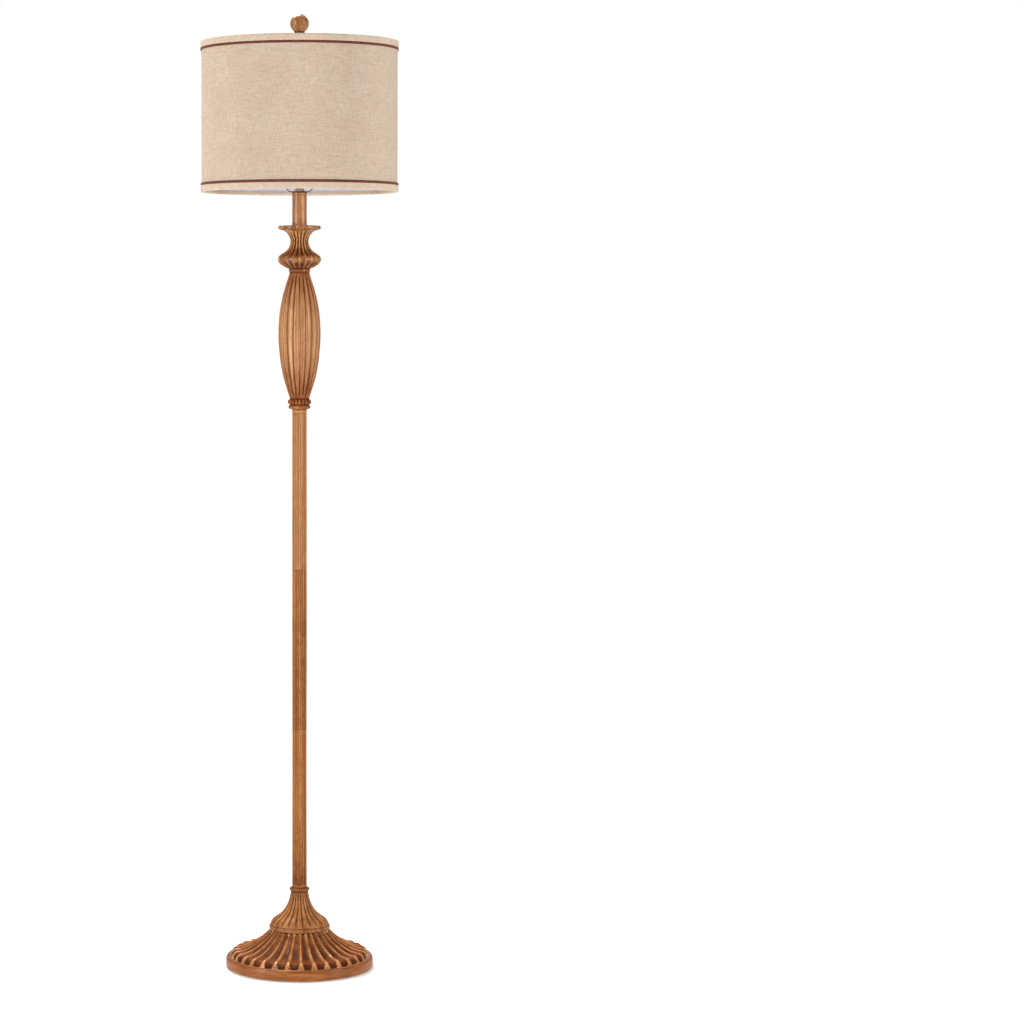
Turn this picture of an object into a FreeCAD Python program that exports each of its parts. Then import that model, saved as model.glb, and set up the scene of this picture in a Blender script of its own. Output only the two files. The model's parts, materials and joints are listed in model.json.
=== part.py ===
import FreeCAD, Part
import math
import os

from FreeCAD import Vector

# A floor lamp on a round ribbed base: a fluted pole in three screwed sections, a fluted baluster
# and vase, a socket with a turn knob, a wire harp, a drum shade of linen and a ball finial.
# Millimetres, +Z up, the origin at the centre of the underside of the four foot pads.

full_turn = 360.0
half_turn = 180.0
hexagon_sides = 6
overrun = 5.0

# Clearances
thread_clearance = 0.05
running_clearance = 0.08
glue_gap = 0.05
hole_clearance = 0.4
body_gap = 0.3

# Threaded lamp pipe and its hexagon nuts
pipe_radius = 4.9
pipe_bore_radius = 3.2
nut_across_flats = 14.3
pipe_grip = 12.0

# Base
foot_pad_height = 2.0
foot_pad_radius = 9.0
foot_pad_inset = 10.5
foot_pad_count = 4
cover_thickness = 1.5
cover_edge_gap = 1.0
plinth_radius = 124.5
plinth_side_height = 13.0
plinth_edge_radius = 5.0
plinth_ledge_width = 2.5
plinth_wall = 6.0
knuckle_width = 12.0
dome_crest_rise = 11.0
dome_height = 35.0
dome_shell = 4.9
weight_edge_gap = 10.0
weight_boss_gap = 7.0
weight_recess_radius = 17.0
weight_recess_depth = 12.0
washer_radius = 14.0
washer_thickness = 2.0
base_nut_height = 5.0
pipe_end_proud = 1.5
bushing_height = 6.5
bushing_radius = 4.6
bushing_flange_radius = 6.0
bushing_flange_thickness = 2.0
bushing_inner_reach = 3.0
channel_width = 9.0
channel_headroom = 4.0

# Bell and the ring under the pole
bell_radius = 51.4
bell_height = 64.2
bell_rim_height = 7.5
bell_overhang = 1.4
base_ring_radius = 17.0
base_ring_edge_radius = 14.4
base_ring_height = 6.1

# Pole
pole_radius = 12.45
pole_wall = 1.2
pole_section_length = 270.4
pole_section_count = 3
pole_flute_count = 22
pole_flute_depth = 0.45
pole_flute_cutter_radius = 1.5
pole_flute_turn = -4.4
pole_flute_margin = 6.0
insert_length = 15.0
nipple_length = 24.0

# Gadroon collar, baluster, plain ring and vase
collar_low_height = 7.2
collar_low_radius = 18.6
collar_low_edge_radius = 16.2
collar_high_height = 9.8
collar_high_radius = 19.9
collar_high_edge_radius = 16.5
baluster_height = 212.0
baluster_radius = 35.65
middle_ring_height = 5.6
middle_ring_radius = 18.15
middle_ring_edge_radius = 16.4
vase_height = 71.6
vase_radius = 36.05
vase_lip_height = 6.2

# Neck
neck_radius = 12.15
neck_wall = 1.1
neck_height = 54.4
neck_ring_wall = 0.3
neck_ring_height = 4.6
neck_boss_height = 3.0
neck_cap_overhang = 0.25
neck_cap_thickness = 1.0
neck_cap_depth = 4.0

# Harp saddle and its nut
strip_thickness = 1.6
saddle_half_length = 16.5
saddle_width = 13.0
saddle_arm_rise = 12.8
saddle_arm_end = 1.7
ear_wall = 1.2
ear_slack = 0.15
ear_height = 15.0
saddle_nut_height = 3.0

# Harp: bent wire with a seat and a threaded stud on top
harp_height = 228.6
harp_leg_offset = 27.0
harp_half_width = 56.0
harp_top_half_width = 30.0
harp_wire_radius = 1.7
harp_tip_gap = 0.5
harp_bend_heights_shares = (0.190, 0.455, 0.722)
harp_bend_radii = (50.0, 70.0, 60.0, 30.0)
seat_radius = 9.0
seat_thickness = 2.0
seat_hub_radius = 5.0
seat_hub_skin = 1.0
stud_radius = 3.175
stud_length = 11.5
sleeve_wall = 0.8
sleeve_lip = 1.0

# Lamp socket
cap_hub_radius = 7.2
cap_hub_height = 6.0
cap_wall = 0.8
cap_shell_gap = 0.1
cap_dome_height = 10.0
cap_skirt_height = 8.0
cap_bulge_shares = (0.72, 0.25)
socket_shell_radius = 16.5
socket_shell_wall = 0.6
socket_shell_height = 45.0
socket_shell_lip = 1.6
shell_cap_overlap = 7.0
insulator_wall = 0.6
insulator_end_gap = 1.0
socket_body_height = 20.8
socket_body_gap = 0.2
contact_recess_radius = 7.5
contact_recess_depth = 4.0
contact_radius = 5.0
contact_thickness = 1.2
tongue_radius = 2.5
tongue_gap = 0.3
screw_shell_bore_radius = 13.25
screw_shell_wall = 0.5
screw_shell_height = 22.0
set_screw_radius = 1.5
set_screw_height = 3.0
set_screw_proud = 1.4

# Turn knob of the switch
switch_height_share = 0.5
shaft_radius = 2.0
shaft_hole_radius = 2.6
shaft_inner_reach = 6.0
knob_gap = 2.5
knob_length = 13.0
knob_radius = 5.2
knob_groove_count = 12
knob_groove_radius = 0.7
knob_socket_depth = 9.0

# Shade
shade_radius = 165.0
shade_height = 249.0
trim_thickness = 1.7
trim_height = 11.0
trim_fold_height = 5.5
trim_fold_thickness = 0.8
trim_edge_thickness = 0.9
piping_height = 4.2
piping_edge_thickness = 0.7
linen_thickness = 0.8
liner_thickness = 0.8
shade_wire_radius = 1.5
spider_hub_radius = 15.0
spider_hub_thickness = 1.6
spider_hole_radius = 3.6
spider_arm_radius = 1.6
spider_arm_count = 3
spider_arm_turn = 90.0
spider_arm_seat = 5.0
spider_weld_depth = 0.4

# Finial
finial_height = 48.7
finial_ball_radius = 15.6
finial_bead_radius = 9.2
finial_bead_height = 3.8
finial_foot_radius = 8.5
finial_foot_height = 3.0
finial_neck_radius = 6.5
insert_radius = 4.8
insert_height = 13.0
insert_end_gap = 0.4

# Outlines, each point as shares of the piece's own radius and height
dome_sweep_shares = (
    (0.00, 1.00), (0.12, 0.77), (0.26, 0.57), (0.45, 0.36), (0.65, 0.18), (0.83, 0.06), (1.00, 0.00),
)
bell_flare_shares = (
    (0.950, 0.150), (0.920, 0.205), (0.860, 0.260), (0.775, 0.305), (0.607, 0.408), (0.490, 0.517),
    (0.414, 0.625), (0.357, 0.731), (0.319, 0.838), (0.284, 1.000),
)
baluster_shares = (
    (0.450, 0.000), (0.590, 0.070), (0.750, 0.160), (0.865, 0.250), (0.955, 0.370), (1.000, 0.515),
    (0.960, 0.650), (0.850, 0.770), (0.700, 0.870), (0.550, 0.950), (0.455, 1.000),
)
vase_shares = (
    (0.488, 0.000), (0.713, 0.046), (0.870, 0.100), (0.965, 0.155), (1.000, 0.218), (0.970, 0.275),
    (0.850, 0.333), (0.680, 0.387), (0.555, 0.450), (0.474, 0.515), (0.426, 0.620), (0.447, 0.710),
    (0.535, 0.798), (0.646, 0.856), (0.790, 0.898),
)
vase_lip_inset_share = 0.06

# Heights of the stack, worked out from the floor up
cover_low = foot_pad_height
weight_low = cover_low + cover_thickness
dish_low = foot_pad_height
plinth_side_top = dish_low + plinth_side_height
plinth_top = plinth_side_top + plinth_edge_radius
dome_crest_z = plinth_top + dome_crest_rise
dish_top = dome_crest_z + dome_height
dish_roof = dish_top - dome_shell
plinth_inner_radius = plinth_radius - plinth_wall
cover_radius = plinth_inner_radius - cover_edge_gap
foot_pad_circle_radius = cover_radius - foot_pad_inset - foot_pad_radius
ledge_radius = plinth_radius - plinth_edge_radius - plinth_ledge_width
dome_crest_radius = ledge_radius - knuckle_width
dome_top_radius = bell_radius - bell_overhang
bushing_z = dish_low + bushing_height
bell_top = dish_top + bell_height
pole_low = bell_top + base_ring_height
pole_top = pole_low + pole_section_count * pole_section_length
collar_middle = pole_top + collar_low_height
baluster_low = collar_middle + collar_high_height
baluster_top = baluster_low + baluster_height
vase_low = baluster_top + middle_ring_height
vase_top = vase_low + vase_height
neck_top = vase_top + neck_height
neck_inner_radius = neck_radius - neck_wall
neck_ring_bore_radius = neck_radius + glue_gap
saddle_low = neck_top + neck_cap_thickness
saddle_top = saddle_low + strip_thickness
socket_low = saddle_top + saddle_nut_height
pipe_hole_radius = pipe_radius + hole_clearance
pipe_thread_radius = pipe_radius + thread_clearance

# Heights and radii inside the socket
cap_radius = socket_shell_radius + cap_shell_gap + cap_wall
cap_shoulder = socket_low + cap_hub_height + cap_dome_height
cap_top = cap_shoulder + cap_skirt_height
shell_low = cap_top - shell_cap_overlap
shell_top = shell_low + socket_shell_height
shell_inner_radius = socket_shell_radius - socket_shell_wall
insulator_radius = shell_inner_radius - glue_gap
insulator_inner_radius = insulator_radius - insulator_wall
socket_body_radius = insulator_inner_radius - socket_body_gap
body_low = shell_low + socket_body_gap
body_top = body_low + socket_body_height
switch_z = body_low + switch_height_share * socket_body_height
knob_reach = cap_radius + knob_gap

# Heights of the harp, the shade and the finial
ear_low = saddle_low + saddle_arm_rise
ear_top = ear_low + saddle_arm_end + ear_height
harp_tip = ear_low + saddle_arm_end + harp_tip_gap
seat_top = harp_tip + harp_height
wire_top_z = seat_top - seat_thickness - harp_wire_radius
ear_inner_radius = harp_wire_radius + ear_slack
ear_radius = ear_inner_radius + ear_wall
hub_low = seat_top + body_gap
hub_top = hub_low + spider_hub_thickness
shade_wire_z = hub_top + spider_arm_radius - spider_weld_depth
shade_top = shade_wire_z + shade_wire_radius + trim_edge_thickness
shade_low = shade_top - shade_height
finial_low = hub_top + body_gap

# Radii through the shade's wall, from the outside in
linen_radius = shade_radius - trim_thickness
liner_radius = linen_radius - linen_thickness - glue_gap
liner_inner_radius = liner_radius - liner_thickness
shade_ring_radius = liner_inner_radius - glue_gap - shade_wire_radius
trim_fold_radius = shade_ring_radius - shade_wire_radius - glue_gap


# Helpers

def at(radius, height):
    """A point of an outline: its distance from the axis and its height."""
    return Vector(radius, 0, height)


def straight(*points):
    """Straight edges through the points, in order."""
    return [Part.makeLine(start, end) for start, end in zip(points, points[1:])]


def arc(start, middle, end):
    return [Part.Arc(start, middle, end).toShape()]


def smooth(points):
    curve = Part.BSplineCurve()
    curve.interpolate(points)
    return [curve.toShape()]


def turned(edges):
    """The closed outline in the XZ plane, turned once round the Z axis."""
    face = Part.Face(Part.Wire(edges))
    return face.revolve(Vector(0, 0, 0), Vector(0, 0, 1), full_turn)


def disc(radius, low, high):
    return Part.makeCylinder(radius, high - low, Vector(0, 0, low))


def tube(outer_radius, inner_radius, low, high):
    return disc(outer_radius, low, high).cut(disc(inner_radius, low, high))


def bead(inner_radius, edge_radius, crest_radius, low, high):
    """A ring whose outside is one arc from edge to crest to edge."""
    side = arc(at(edge_radius, low), at(crest_radius, (low + high) / 2), at(edge_radius, high))
    rest = straight(
        at(edge_radius, high), at(inner_radius, high), at(inner_radius, low), at(edge_radius, low),
    )
    return turned(side + rest)


def shaped(shares, radius, low, height):
    return [at(r_share * radius, low + z_share * height) for r_share, z_share in shares]


def hexagon(across_flats, bore_radius, low, high):
    corner_radius = across_flats / 2 / math.cos(math.pi / hexagon_sides)
    corners = []
    for index in range(hexagon_sides + 1):
        angle = index * 2 * math.pi / hexagon_sides
        corners.append(Vector(corner_radius * math.cos(angle), corner_radius * math.sin(angle), low))
    prism = Part.Face(Part.makePolygon(corners)).extrude(Vector(0, 0, high - low))
    return prism.cut(disc(bore_radius, low, high))


def rod_along_y(radius, start_y, end_y, z):
    length = abs(end_y - start_y)
    return Part.makeCylinder(radius, length, Vector(0, min(start_y, end_y), z), Vector(0, 1, 0))


def turned_copies(shape, count, first_turn=0.0):
    copies = []
    for index in range(count):
        copy = shape.copy()
        copy.rotate(Vector(0, 0, 0), Vector(0, 0, 1), first_turn + index * full_turn / count)
        copies.append(copy)
    return copies


def mirrored(shape):
    return shape.mirror(Vector(0, 0, 0), Vector(1, 0, 0))


def offset_path(points, distance):
    """The path moved to its left by the distance, with mitred corners, in the XZ plane."""
    moved = []
    for index, here in enumerate(points):
        total = Vector(0, 0, 0)
        neighbours = []
        if index > 0:
            neighbours.append(here - points[index - 1])
        if index < len(points) - 1:
            neighbours.append(points[index + 1] - here)
        for direction in neighbours:
            total += Vector(-direction.z, 0, direction.x).normalize()
        moved.append(here + total * (distance * len(neighbours) / total.dot(total)))
    return moved


def rounded_path(points, radii):
    """Straight runs through the points, joined by tangent arcs of the given radii."""
    edges = []
    run_start = points[0]
    for before, corner, after, radius in zip(points, points[1:], points[2:], radii):
        inward = (before - corner).normalize()
        outward = (after - corner).normalize()
        half_angle = inward.getAngle(outward) / 2
        reach = radius / math.tan(half_angle)
        bisector = (inward + outward).normalize()
        centre = corner + bisector * (radius / math.sin(half_angle))
        arc_start = corner + inward * reach
        arc_end = corner + outward * reach
        edges += straight(run_start, arc_start)
        edges += arc(arc_start, centre - bisector * radius, arc_end)
        run_start = arc_end
    return edges + straight(run_start, points[-1])


# Base

def make_foot_pads():
    pad = Part.makeCylinder(foot_pad_radius, foot_pad_height, Vector(foot_pad_circle_radius, 0, 0))
    return Part.makeCompound(turned_copies(pad, foot_pad_count, half_turn / foot_pad_count))


def make_base_cover():
    return disc(cover_radius, cover_low, weight_low)


def dome_sweep(inset):
    """Points of the dome's hollow sweep, moved in and down by the inset."""
    width = dome_crest_radius - dome_top_radius
    points = []
    for r_share, z_share in dome_sweep_shares:
        radius = dome_top_radius + r_share * width - inset
        points.append(at(radius, dome_crest_z + z_share * dome_height - inset))
    return points


def make_base_dish():
    """Plinth and dome in one casting, hollow from below."""
    ledge_outer = at(plinth_radius - plinth_edge_radius, plinth_top)
    ledge_inner = at(ledge_radius, plinth_top)
    edge_share = math.sqrt(0.5)
    edge_middle = at(
        plinth_radius - plinth_edge_radius * (1 - edge_share),
        plinth_side_top + plinth_edge_radius * edge_share,
    )
    knuckle_middle = at(
        dome_crest_radius + knuckle_width * edge_share,
        plinth_top + dome_crest_rise * edge_share,
    )
    outer_sweep = dome_sweep(0)
    inner_sweep = dome_sweep(dome_shell)
    outline = straight(at(plinth_radius, dish_low), at(plinth_radius, plinth_side_top))
    outline += arc(at(plinth_radius, plinth_side_top), edge_middle, ledge_outer)
    outline += straight(ledge_outer, ledge_inner)
    outline += arc(ledge_inner, knuckle_middle, outer_sweep[-1])
    outline += smooth(outer_sweep)
    outline += straight(
        outer_sweep[0], at(pipe_hole_radius, dish_top), at(pipe_hole_radius, dish_roof), inner_sweep[0],
    )
    outline += smooth(inner_sweep)
    outline += straight(
        inner_sweep[-1],
        at(plinth_inner_radius, plinth_side_top),
        at(plinth_inner_radius, dish_low),
        at(plinth_radius, dish_low),
    )
    hole = rod_along_y(bushing_radius + glue_gap, 0, plinth_radius + overrun, bushing_z)
    return turned(outline).cut(hole)


def make_base_weight():
    """Iron disc with a boss up to the dome's roof, a nut recess and a channel for the lead."""
    weight_radius = plinth_inner_radius - weight_edge_gap
    boss_radius = dome_top_radius - dome_shell - weight_boss_gap
    body = disc(weight_radius, weight_low, plinth_side_top)
    body = body.fuse(disc(boss_radius, weight_low, dish_roof)).removeSplitter()
    body = body.cut(disc(pipe_hole_radius, weight_low, dish_roof))
    body = body.cut(disc(weight_recess_radius, weight_low, weight_low + weight_recess_depth))
    channel_high = bushing_z + channel_headroom
    channel = Part.makeBox(
        channel_width, weight_radius, channel_high - weight_low, Vector(-channel_width / 2, 0, weight_low),
    )
    return body.cut(channel)


def make_base_washer():
    high = weight_low + weight_recess_depth
    return tube(washer_radius, pipe_hole_radius, high - washer_thickness, high)


def make_base_nut():
    high = weight_low + weight_recess_depth - washer_thickness
    return hexagon(nut_across_flats, pipe_thread_radius, high - base_nut_height, high)


def make_base_pipe():
    nut_low = weight_low + weight_recess_depth - washer_thickness - base_nut_height
    return tube(pipe_radius, pipe_bore_radius, nut_low - pipe_end_proud, pole_low + pipe_grip)


def make_cord_bushing():
    inner_y = plinth_inner_radius - bushing_inner_reach
    outer_y = plinth_radius + bushing_flange_thickness
    barrel = rod_along_y(bushing_radius, inner_y, outer_y, bushing_z)
    flange = rod_along_y(bushing_flange_radius, plinth_radius, outer_y, bushing_z)
    bore = rod_along_y(pipe_bore_radius, inner_y, outer_y, bushing_z)
    return barrel.fuse(flange).cut(bore).removeSplitter()


def make_base_bell():
    flare = shaped(bell_flare_shares, bell_radius, dish_top, bell_height)
    rim_low = at(bell_radius, dish_top)
    rim_middle = at(bell_radius, dish_top + bell_rim_height / 2)
    rim_high = at(flare[0].x, dish_top + bell_rim_height)
    outline = straight(rim_low, rim_middle, rim_high, flare[0])
    outline += smooth(flare)
    outline += straight(
        flare[-1], at(pipe_hole_radius, bell_top), at(pipe_hole_radius, dish_top), rim_low,
    )
    return turned(outline)


def make_base_collar_ring():
    return bead(pipe_hole_radius, base_ring_edge_radius, base_ring_radius, bell_top, pole_low)


# Pole

def pole_joint(index):
    """Height of the lower end of a section, counted from 0 at the bottom."""
    return pole_low + index * pole_section_length


def make_pole_section(index):
    low = pole_joint(index)
    high = pole_joint(index + 1)
    body = tube(pole_radius, pole_radius - pole_wall, low, high)
    cutter_distance = pole_radius + pole_flute_cutter_radius - pole_flute_depth
    cutter = Part.makeCylinder(
        pole_flute_cutter_radius,
        high - low - 2 * pole_flute_margin,
        Vector(0, -cutter_distance, low + pole_flute_margin),
    )
    cutters = turned_copies(cutter, pole_flute_count, pole_flute_turn)
    return body.cut(Part.makeCompound(cutters))


def make_pole_inserts():
    """A threaded plug in each end of each section."""
    outer_radius = pole_radius - pole_wall - glue_gap
    plugs = []
    for index in range(pole_section_count):
        low = pole_joint(index)
        high = pole_joint(index + 1)
        plugs.append(tube(outer_radius, pipe_thread_radius, low, low + insert_length))
        plugs.append(tube(outer_radius, pipe_thread_radius, high - insert_length, high))
    return Part.makeCompound(plugs)


def make_pole_nipples():
    nipples = []
    for index in range(1, pole_section_count):
        low = pole_joint(index) - nipple_length / 2
        nipples.append(tube(pipe_radius, pipe_bore_radius, low, low + nipple_length))
    return Part.makeCompound(nipples)


# Upper column

def make_gadroon_collar():
    low = bead(pipe_hole_radius, collar_low_edge_radius, collar_low_radius, pole_top, collar_middle)
    high = bead(
        pipe_hole_radius, collar_high_edge_radius, collar_high_radius, collar_middle, baluster_low,
    )
    return low.fuse(high).removeSplitter()


def make_baluster():
    side = shaped(baluster_shares, baluster_radius, baluster_low, baluster_height)
    outline = smooth(side)
    outline += straight(
        side[-1], at(pipe_hole_radius, baluster_top), at(pipe_hole_radius, baluster_low), side[0],
    )
    return turned(outline)


def make_baluster_ring():
    return bead(
        pipe_hole_radius, middle_ring_edge_radius, middle_ring_radius, baluster_top, vase_low,
    )


def make_vase():
    side = shaped(vase_shares, vase_radius, vase_low, vase_height)
    lip_edge_radius = vase_radius * (1 - vase_lip_inset_share)
    lip_low = at(lip_edge_radius, vase_top - vase_lip_height)
    lip_high = at(lip_edge_radius, vase_top)
    outline = smooth(side)
    outline += straight(side[-1], lip_low)
    outline += arc(lip_low, at(vase_radius, vase_top - vase_lip_height / 2), lip_high)
    boss_radius = neck_inner_radius - glue_gap
    outline += straight(
        lip_high,
        at(boss_radius, vase_top),
        at(boss_radius, vase_top + neck_boss_height),
        at(pipe_hole_radius, vase_top + neck_boss_height),
        at(pipe_hole_radius, vase_low),
        side[0],
    )
    return turned(outline)


def make_neck_tube():
    return tube(neck_radius, neck_inner_radius, vase_top, neck_top)


def make_neck_ring():
    outer_radius = neck_ring_bore_radius + neck_ring_wall
    return tube(outer_radius, neck_ring_bore_radius, vase_top, vase_top + neck_ring_height)


def make_neck_cap():
    plug = disc(neck_inner_radius - glue_gap, neck_top - neck_cap_depth, neck_top)
    flange = disc(neck_radius + neck_cap_overhang, neck_top, saddle_low)
    bore = disc(pipe_hole_radius, neck_top - neck_cap_depth, saddle_low)
    return plug.fuse(flange).cut(bore)


def make_upper_pipe():
    return tube(pipe_radius, pipe_bore_radius, pole_top - pipe_grip, socket_low + cap_hub_height)


# Harp and its saddle

def make_harp_saddle():
    """A bent strip with a half-round ear at each end that holds a leg of the harp."""
    outer_x = harp_leg_offset + ear_radius
    arm_end = ear_low + saddle_arm_end
    lower = [
        at(-outer_x, arm_end), at(-outer_x, ear_low), at(-saddle_half_length, saddle_low),
        at(saddle_half_length, saddle_low), at(outer_x, ear_low), at(outer_x, arm_end),
    ]
    upper = offset_path(lower, strip_thickness)
    outline = Part.Face(Part.makePolygon(lower + upper[::-1] + lower[:1]))
    strip = outline.extrude(Vector(0, saddle_width, 0))
    strip.translate(Vector(0, -saddle_width / 2, 0))
    half_width = saddle_width / 2
    plan = [
        Vector(saddle_half_length, half_width, saddle_low), Vector(harp_leg_offset, ear_radius, saddle_low),
        Vector(outer_x, ear_radius, saddle_low), Vector(outer_x, -ear_radius, saddle_low),
        Vector(harp_leg_offset, -ear_radius, saddle_low), Vector(saddle_half_length, -half_width, saddle_low),
    ]
    plan += [Vector(-corner.x, -corner.y, corner.z) for corner in plan]
    tapered = Part.Face(Part.makePolygon(plan + plan[:1])).extrude(Vector(0, 0, arm_end - saddle_low))
    saddle = strip.common(tapered)
    ear = tube(ear_radius, ear_inner_radius, ear_low, ear_top)
    outer_half = Part.makeBox(
        ear_radius, 2 * ear_radius, ear_top - ear_low, Vector(0, -ear_radius, ear_low),
    )
    ear = ear.common(outer_half)
    ear.translate(Vector(harp_leg_offset, 0, 0))
    saddle = saddle.fuse([ear, mirrored(ear)]).removeSplitter()
    return saddle.cut(disc(pipe_hole_radius, saddle_low, saddle_top))


def make_saddle_nut():
    return hexagon(nut_across_flats, pipe_thread_radius, saddle_top, socket_low)


def make_harp_wire():
    half_widths = (harp_leg_offset, harp_half_width, harp_half_width)
    right = [at(harp_leg_offset, harp_tip)]
    for half_width, share in zip(half_widths, harp_bend_heights_shares):
        right.append(at(half_width, harp_tip + share * harp_height))
    right.append(at(harp_top_half_width, wire_top_z))
    left = [at(-corner.x, corner.z) for corner in right[::-1]]
    path = Part.Wire(rounded_path(right + left, harp_bend_radii + harp_bend_radii[::-1]))
    section = Part.Wire(Part.Circle(right[0], Vector(0, 0, 1), harp_wire_radius).toShape())
    return path.makePipeShell([section], True, False)


def make_harp_seat():
    """Seat plate for the shade, with the stud above it and a cross-bored hub below it."""
    hub_bottom = wire_top_z - harp_wire_radius - seat_hub_skin
    hub = disc(seat_hub_radius, hub_bottom, seat_top)
    plate = disc(seat_radius, seat_top - seat_thickness, seat_top)
    stud = disc(stud_radius, seat_top, seat_top + stud_length)
    cross_bore = Part.makeCylinder(
        harp_wire_radius + glue_gap, 2 * seat_radius, Vector(-seat_radius, 0, wire_top_z), Vector(1, 0, 0),
    )
    return hub.cut(cross_bore).fuse([plate, stud]).removeSplitter()


def make_harp_sleeve(side):
    """A loose ferrule over the leg and the ear, with a lip that rests on top of the ear."""
    inner_radius = ear_radius + body_gap
    low = harp_tip + body_gap
    lip_low = ear_top + body_gap
    outside = disc(inner_radius + sleeve_wall, low, lip_low + sleeve_lip)
    sleeve = outside.cut(disc(inner_radius, low, lip_low))
    sleeve = sleeve.cut(disc(harp_wire_radius + body_gap, lip_low, lip_low + sleeve_lip))
    sleeve.translate(Vector(side * harp_leg_offset, 0, 0))
    return sleeve


# Socket and switch

def make_socket_cap():
    shoulder = socket_low + cap_hub_height
    r_share, z_share = cap_bulge_shares
    outer_bulge = at(
        cap_hub_radius + r_share * (cap_radius - cap_hub_radius), shoulder + z_share * cap_dome_height,
    )
    inner_bulge = outer_bulge + Vector(-cap_wall, 0, cap_wall)
    outline = straight(
        at(pipe_thread_radius, socket_low), at(cap_hub_radius, socket_low), at(cap_hub_radius, shoulder),
    )
    outline += arc(at(cap_hub_radius, shoulder), outer_bulge, at(cap_radius, cap_shoulder))
    outline += straight(
        at(cap_radius, cap_shoulder), at(cap_radius, cap_top), at(cap_radius - cap_wall, cap_top),
        at(cap_radius - cap_wall, cap_shoulder),
    )
    outline += arc(
        at(cap_radius - cap_wall, cap_shoulder), inner_bulge, at(cap_hub_radius, shoulder + cap_wall),
    )
    outline += straight(
        at(cap_hub_radius, shoulder + cap_wall),
        at(pipe_thread_radius, shoulder + cap_wall),
        at(pipe_thread_radius, socket_low),
    )
    hole = rod_along_y(
        set_screw_radius + thread_clearance, 0, cap_hub_radius + overrun, socket_low + set_screw_height,
    )
    return turned(outline).cut(hole)


def make_socket_set_screw():
    return rod_along_y(
        set_screw_radius, pipe_radius, cap_hub_radius + set_screw_proud, socket_low + set_screw_height,
    )


def make_socket_shell():
    lip_inner_radius = socket_shell_radius - socket_shell_lip
    lip_low = shell_top - socket_shell_wall
    wall = tube(socket_shell_radius, shell_inner_radius, shell_low, shell_top)
    lip = tube(socket_shell_radius, lip_inner_radius, lip_low, shell_top)
    hole = rod_along_y(shaft_hole_radius, -cap_radius - overrun, 0, switch_z)
    return wall.fuse(lip).removeSplitter().cut(hole)


def make_socket_insulator():
    high = shell_top - socket_shell_wall - insulator_end_gap
    sleeve = tube(insulator_radius, insulator_inner_radius, shell_low, high)
    return sleeve.cut(rod_along_y(shaft_hole_radius, -cap_radius - overrun, 0, switch_z))


def make_socket_body():
    """Moulded body with a bore for the switch shaft and a recess for the centre contact."""
    body = disc(socket_body_radius, body_low, body_top)
    body = body.cut(disc(contact_recess_radius, body_top - contact_recess_depth, body_top))
    shaft_bore = rod_along_y(
        shaft_radius + running_clearance,
        -socket_body_radius - overrun,
        -shaft_inner_reach + body_gap,
        switch_z,
    )
    return body.cut(shaft_bore)


def make_centre_contact():
    low = body_top - contact_recess_depth
    plate = disc(contact_radius, low, low + contact_thickness)
    tongue = disc(tongue_radius, low, body_top - tongue_gap)
    return plate.fuse(tongue).removeSplitter()


def make_screw_shell():
    outer_radius = screw_shell_bore_radius + screw_shell_wall
    cup = disc(outer_radius, body_top, body_top + screw_shell_height)
    cup = cup.cut(
        disc(screw_shell_bore_radius, body_top + screw_shell_wall, body_top + screw_shell_height)
    )
    return cup.cut(disc(contact_recess_radius, body_top, body_top + screw_shell_wall))


def make_switch_shaft():
    return rod_along_y(shaft_radius, -shaft_inner_reach, -knob_reach - knob_socket_depth, switch_z)


def make_switch_knob():
    knob = rod_along_y(knob_radius, -knob_reach, -knob_reach - knob_length, switch_z)
    groove = rod_along_y(knob_groove_radius, -knob_reach, -knob_reach - knob_length, switch_z)
    groove.translate(Vector(knob_radius, 0, 0))
    grooves = []
    for index in range(knob_groove_count):
        copy = groove.copy()
        copy.rotate(Vector(0, 0, switch_z), Vector(0, 1, 0), index * full_turn / knob_groove_count)
        grooves.append(copy)
    knob = knob.cut(Part.makeCompound(grooves))
    shaft_socket = rod_along_y(
        shaft_radius + glue_gap, -knob_reach, -knob_reach - knob_socket_depth - glue_gap, switch_z,
    )
    return knob.cut(shaft_socket)


# Shade

def shade_ring(z):
    return Part.makeTorus(shade_ring_radius, shade_wire_radius, Vector(0, 0, z), Vector(0, 0, 1))


def make_spider_hub():
    return tube(spider_hub_radius, spider_hole_radius, hub_low, hub_top)


def make_spider_arms():
    """Three wires from the top of the hub to the upper ring, each pressed flat where it is welded on."""
    start_radius = spider_hub_radius - spider_arm_seat
    arm = Part.makeCylinder(
        spider_arm_radius,
        shade_ring_radius - start_radius,
        Vector(start_radius, 0, shade_wire_z),
        Vector(1, 0, 0),
    )
    arm = arm.cut(disc(spider_hub_radius, hub_low, hub_top))
    return Part.makeCompound(turned_copies(arm, spider_arm_count, spider_arm_turn))


def make_shade_liner():
    low = shade_low + trim_edge_thickness
    return tube(liner_radius, liner_inner_radius, low, shade_top - trim_edge_thickness)


def make_linen_cover():
    low = shade_low + trim_edge_thickness
    return tube(linen_radius, linen_radius - linen_thickness, low, shade_top - trim_edge_thickness)


def trim_band(edge, inward):
    """A band folded over the edge of the shade: inward is +1 at the lower edge, -1 at the upper."""
    fold_inner_radius = trim_fold_radius - trim_fold_thickness
    band_inner_radius = linen_radius + glue_gap
    band_end = edge + inward * trim_height
    fold_end = edge + inward * trim_fold_height
    turn = edge + inward * trim_edge_thickness
    outline = straight(
        at(shade_radius, edge), at(shade_radius, band_end), at(band_inner_radius, band_end),
        at(band_inner_radius, turn), at(trim_fold_radius, turn), at(trim_fold_radius, fold_end),
        at(fold_inner_radius, fold_end), at(fold_inner_radius, edge), at(shade_radius, edge),
    )
    return turned(outline)


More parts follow.
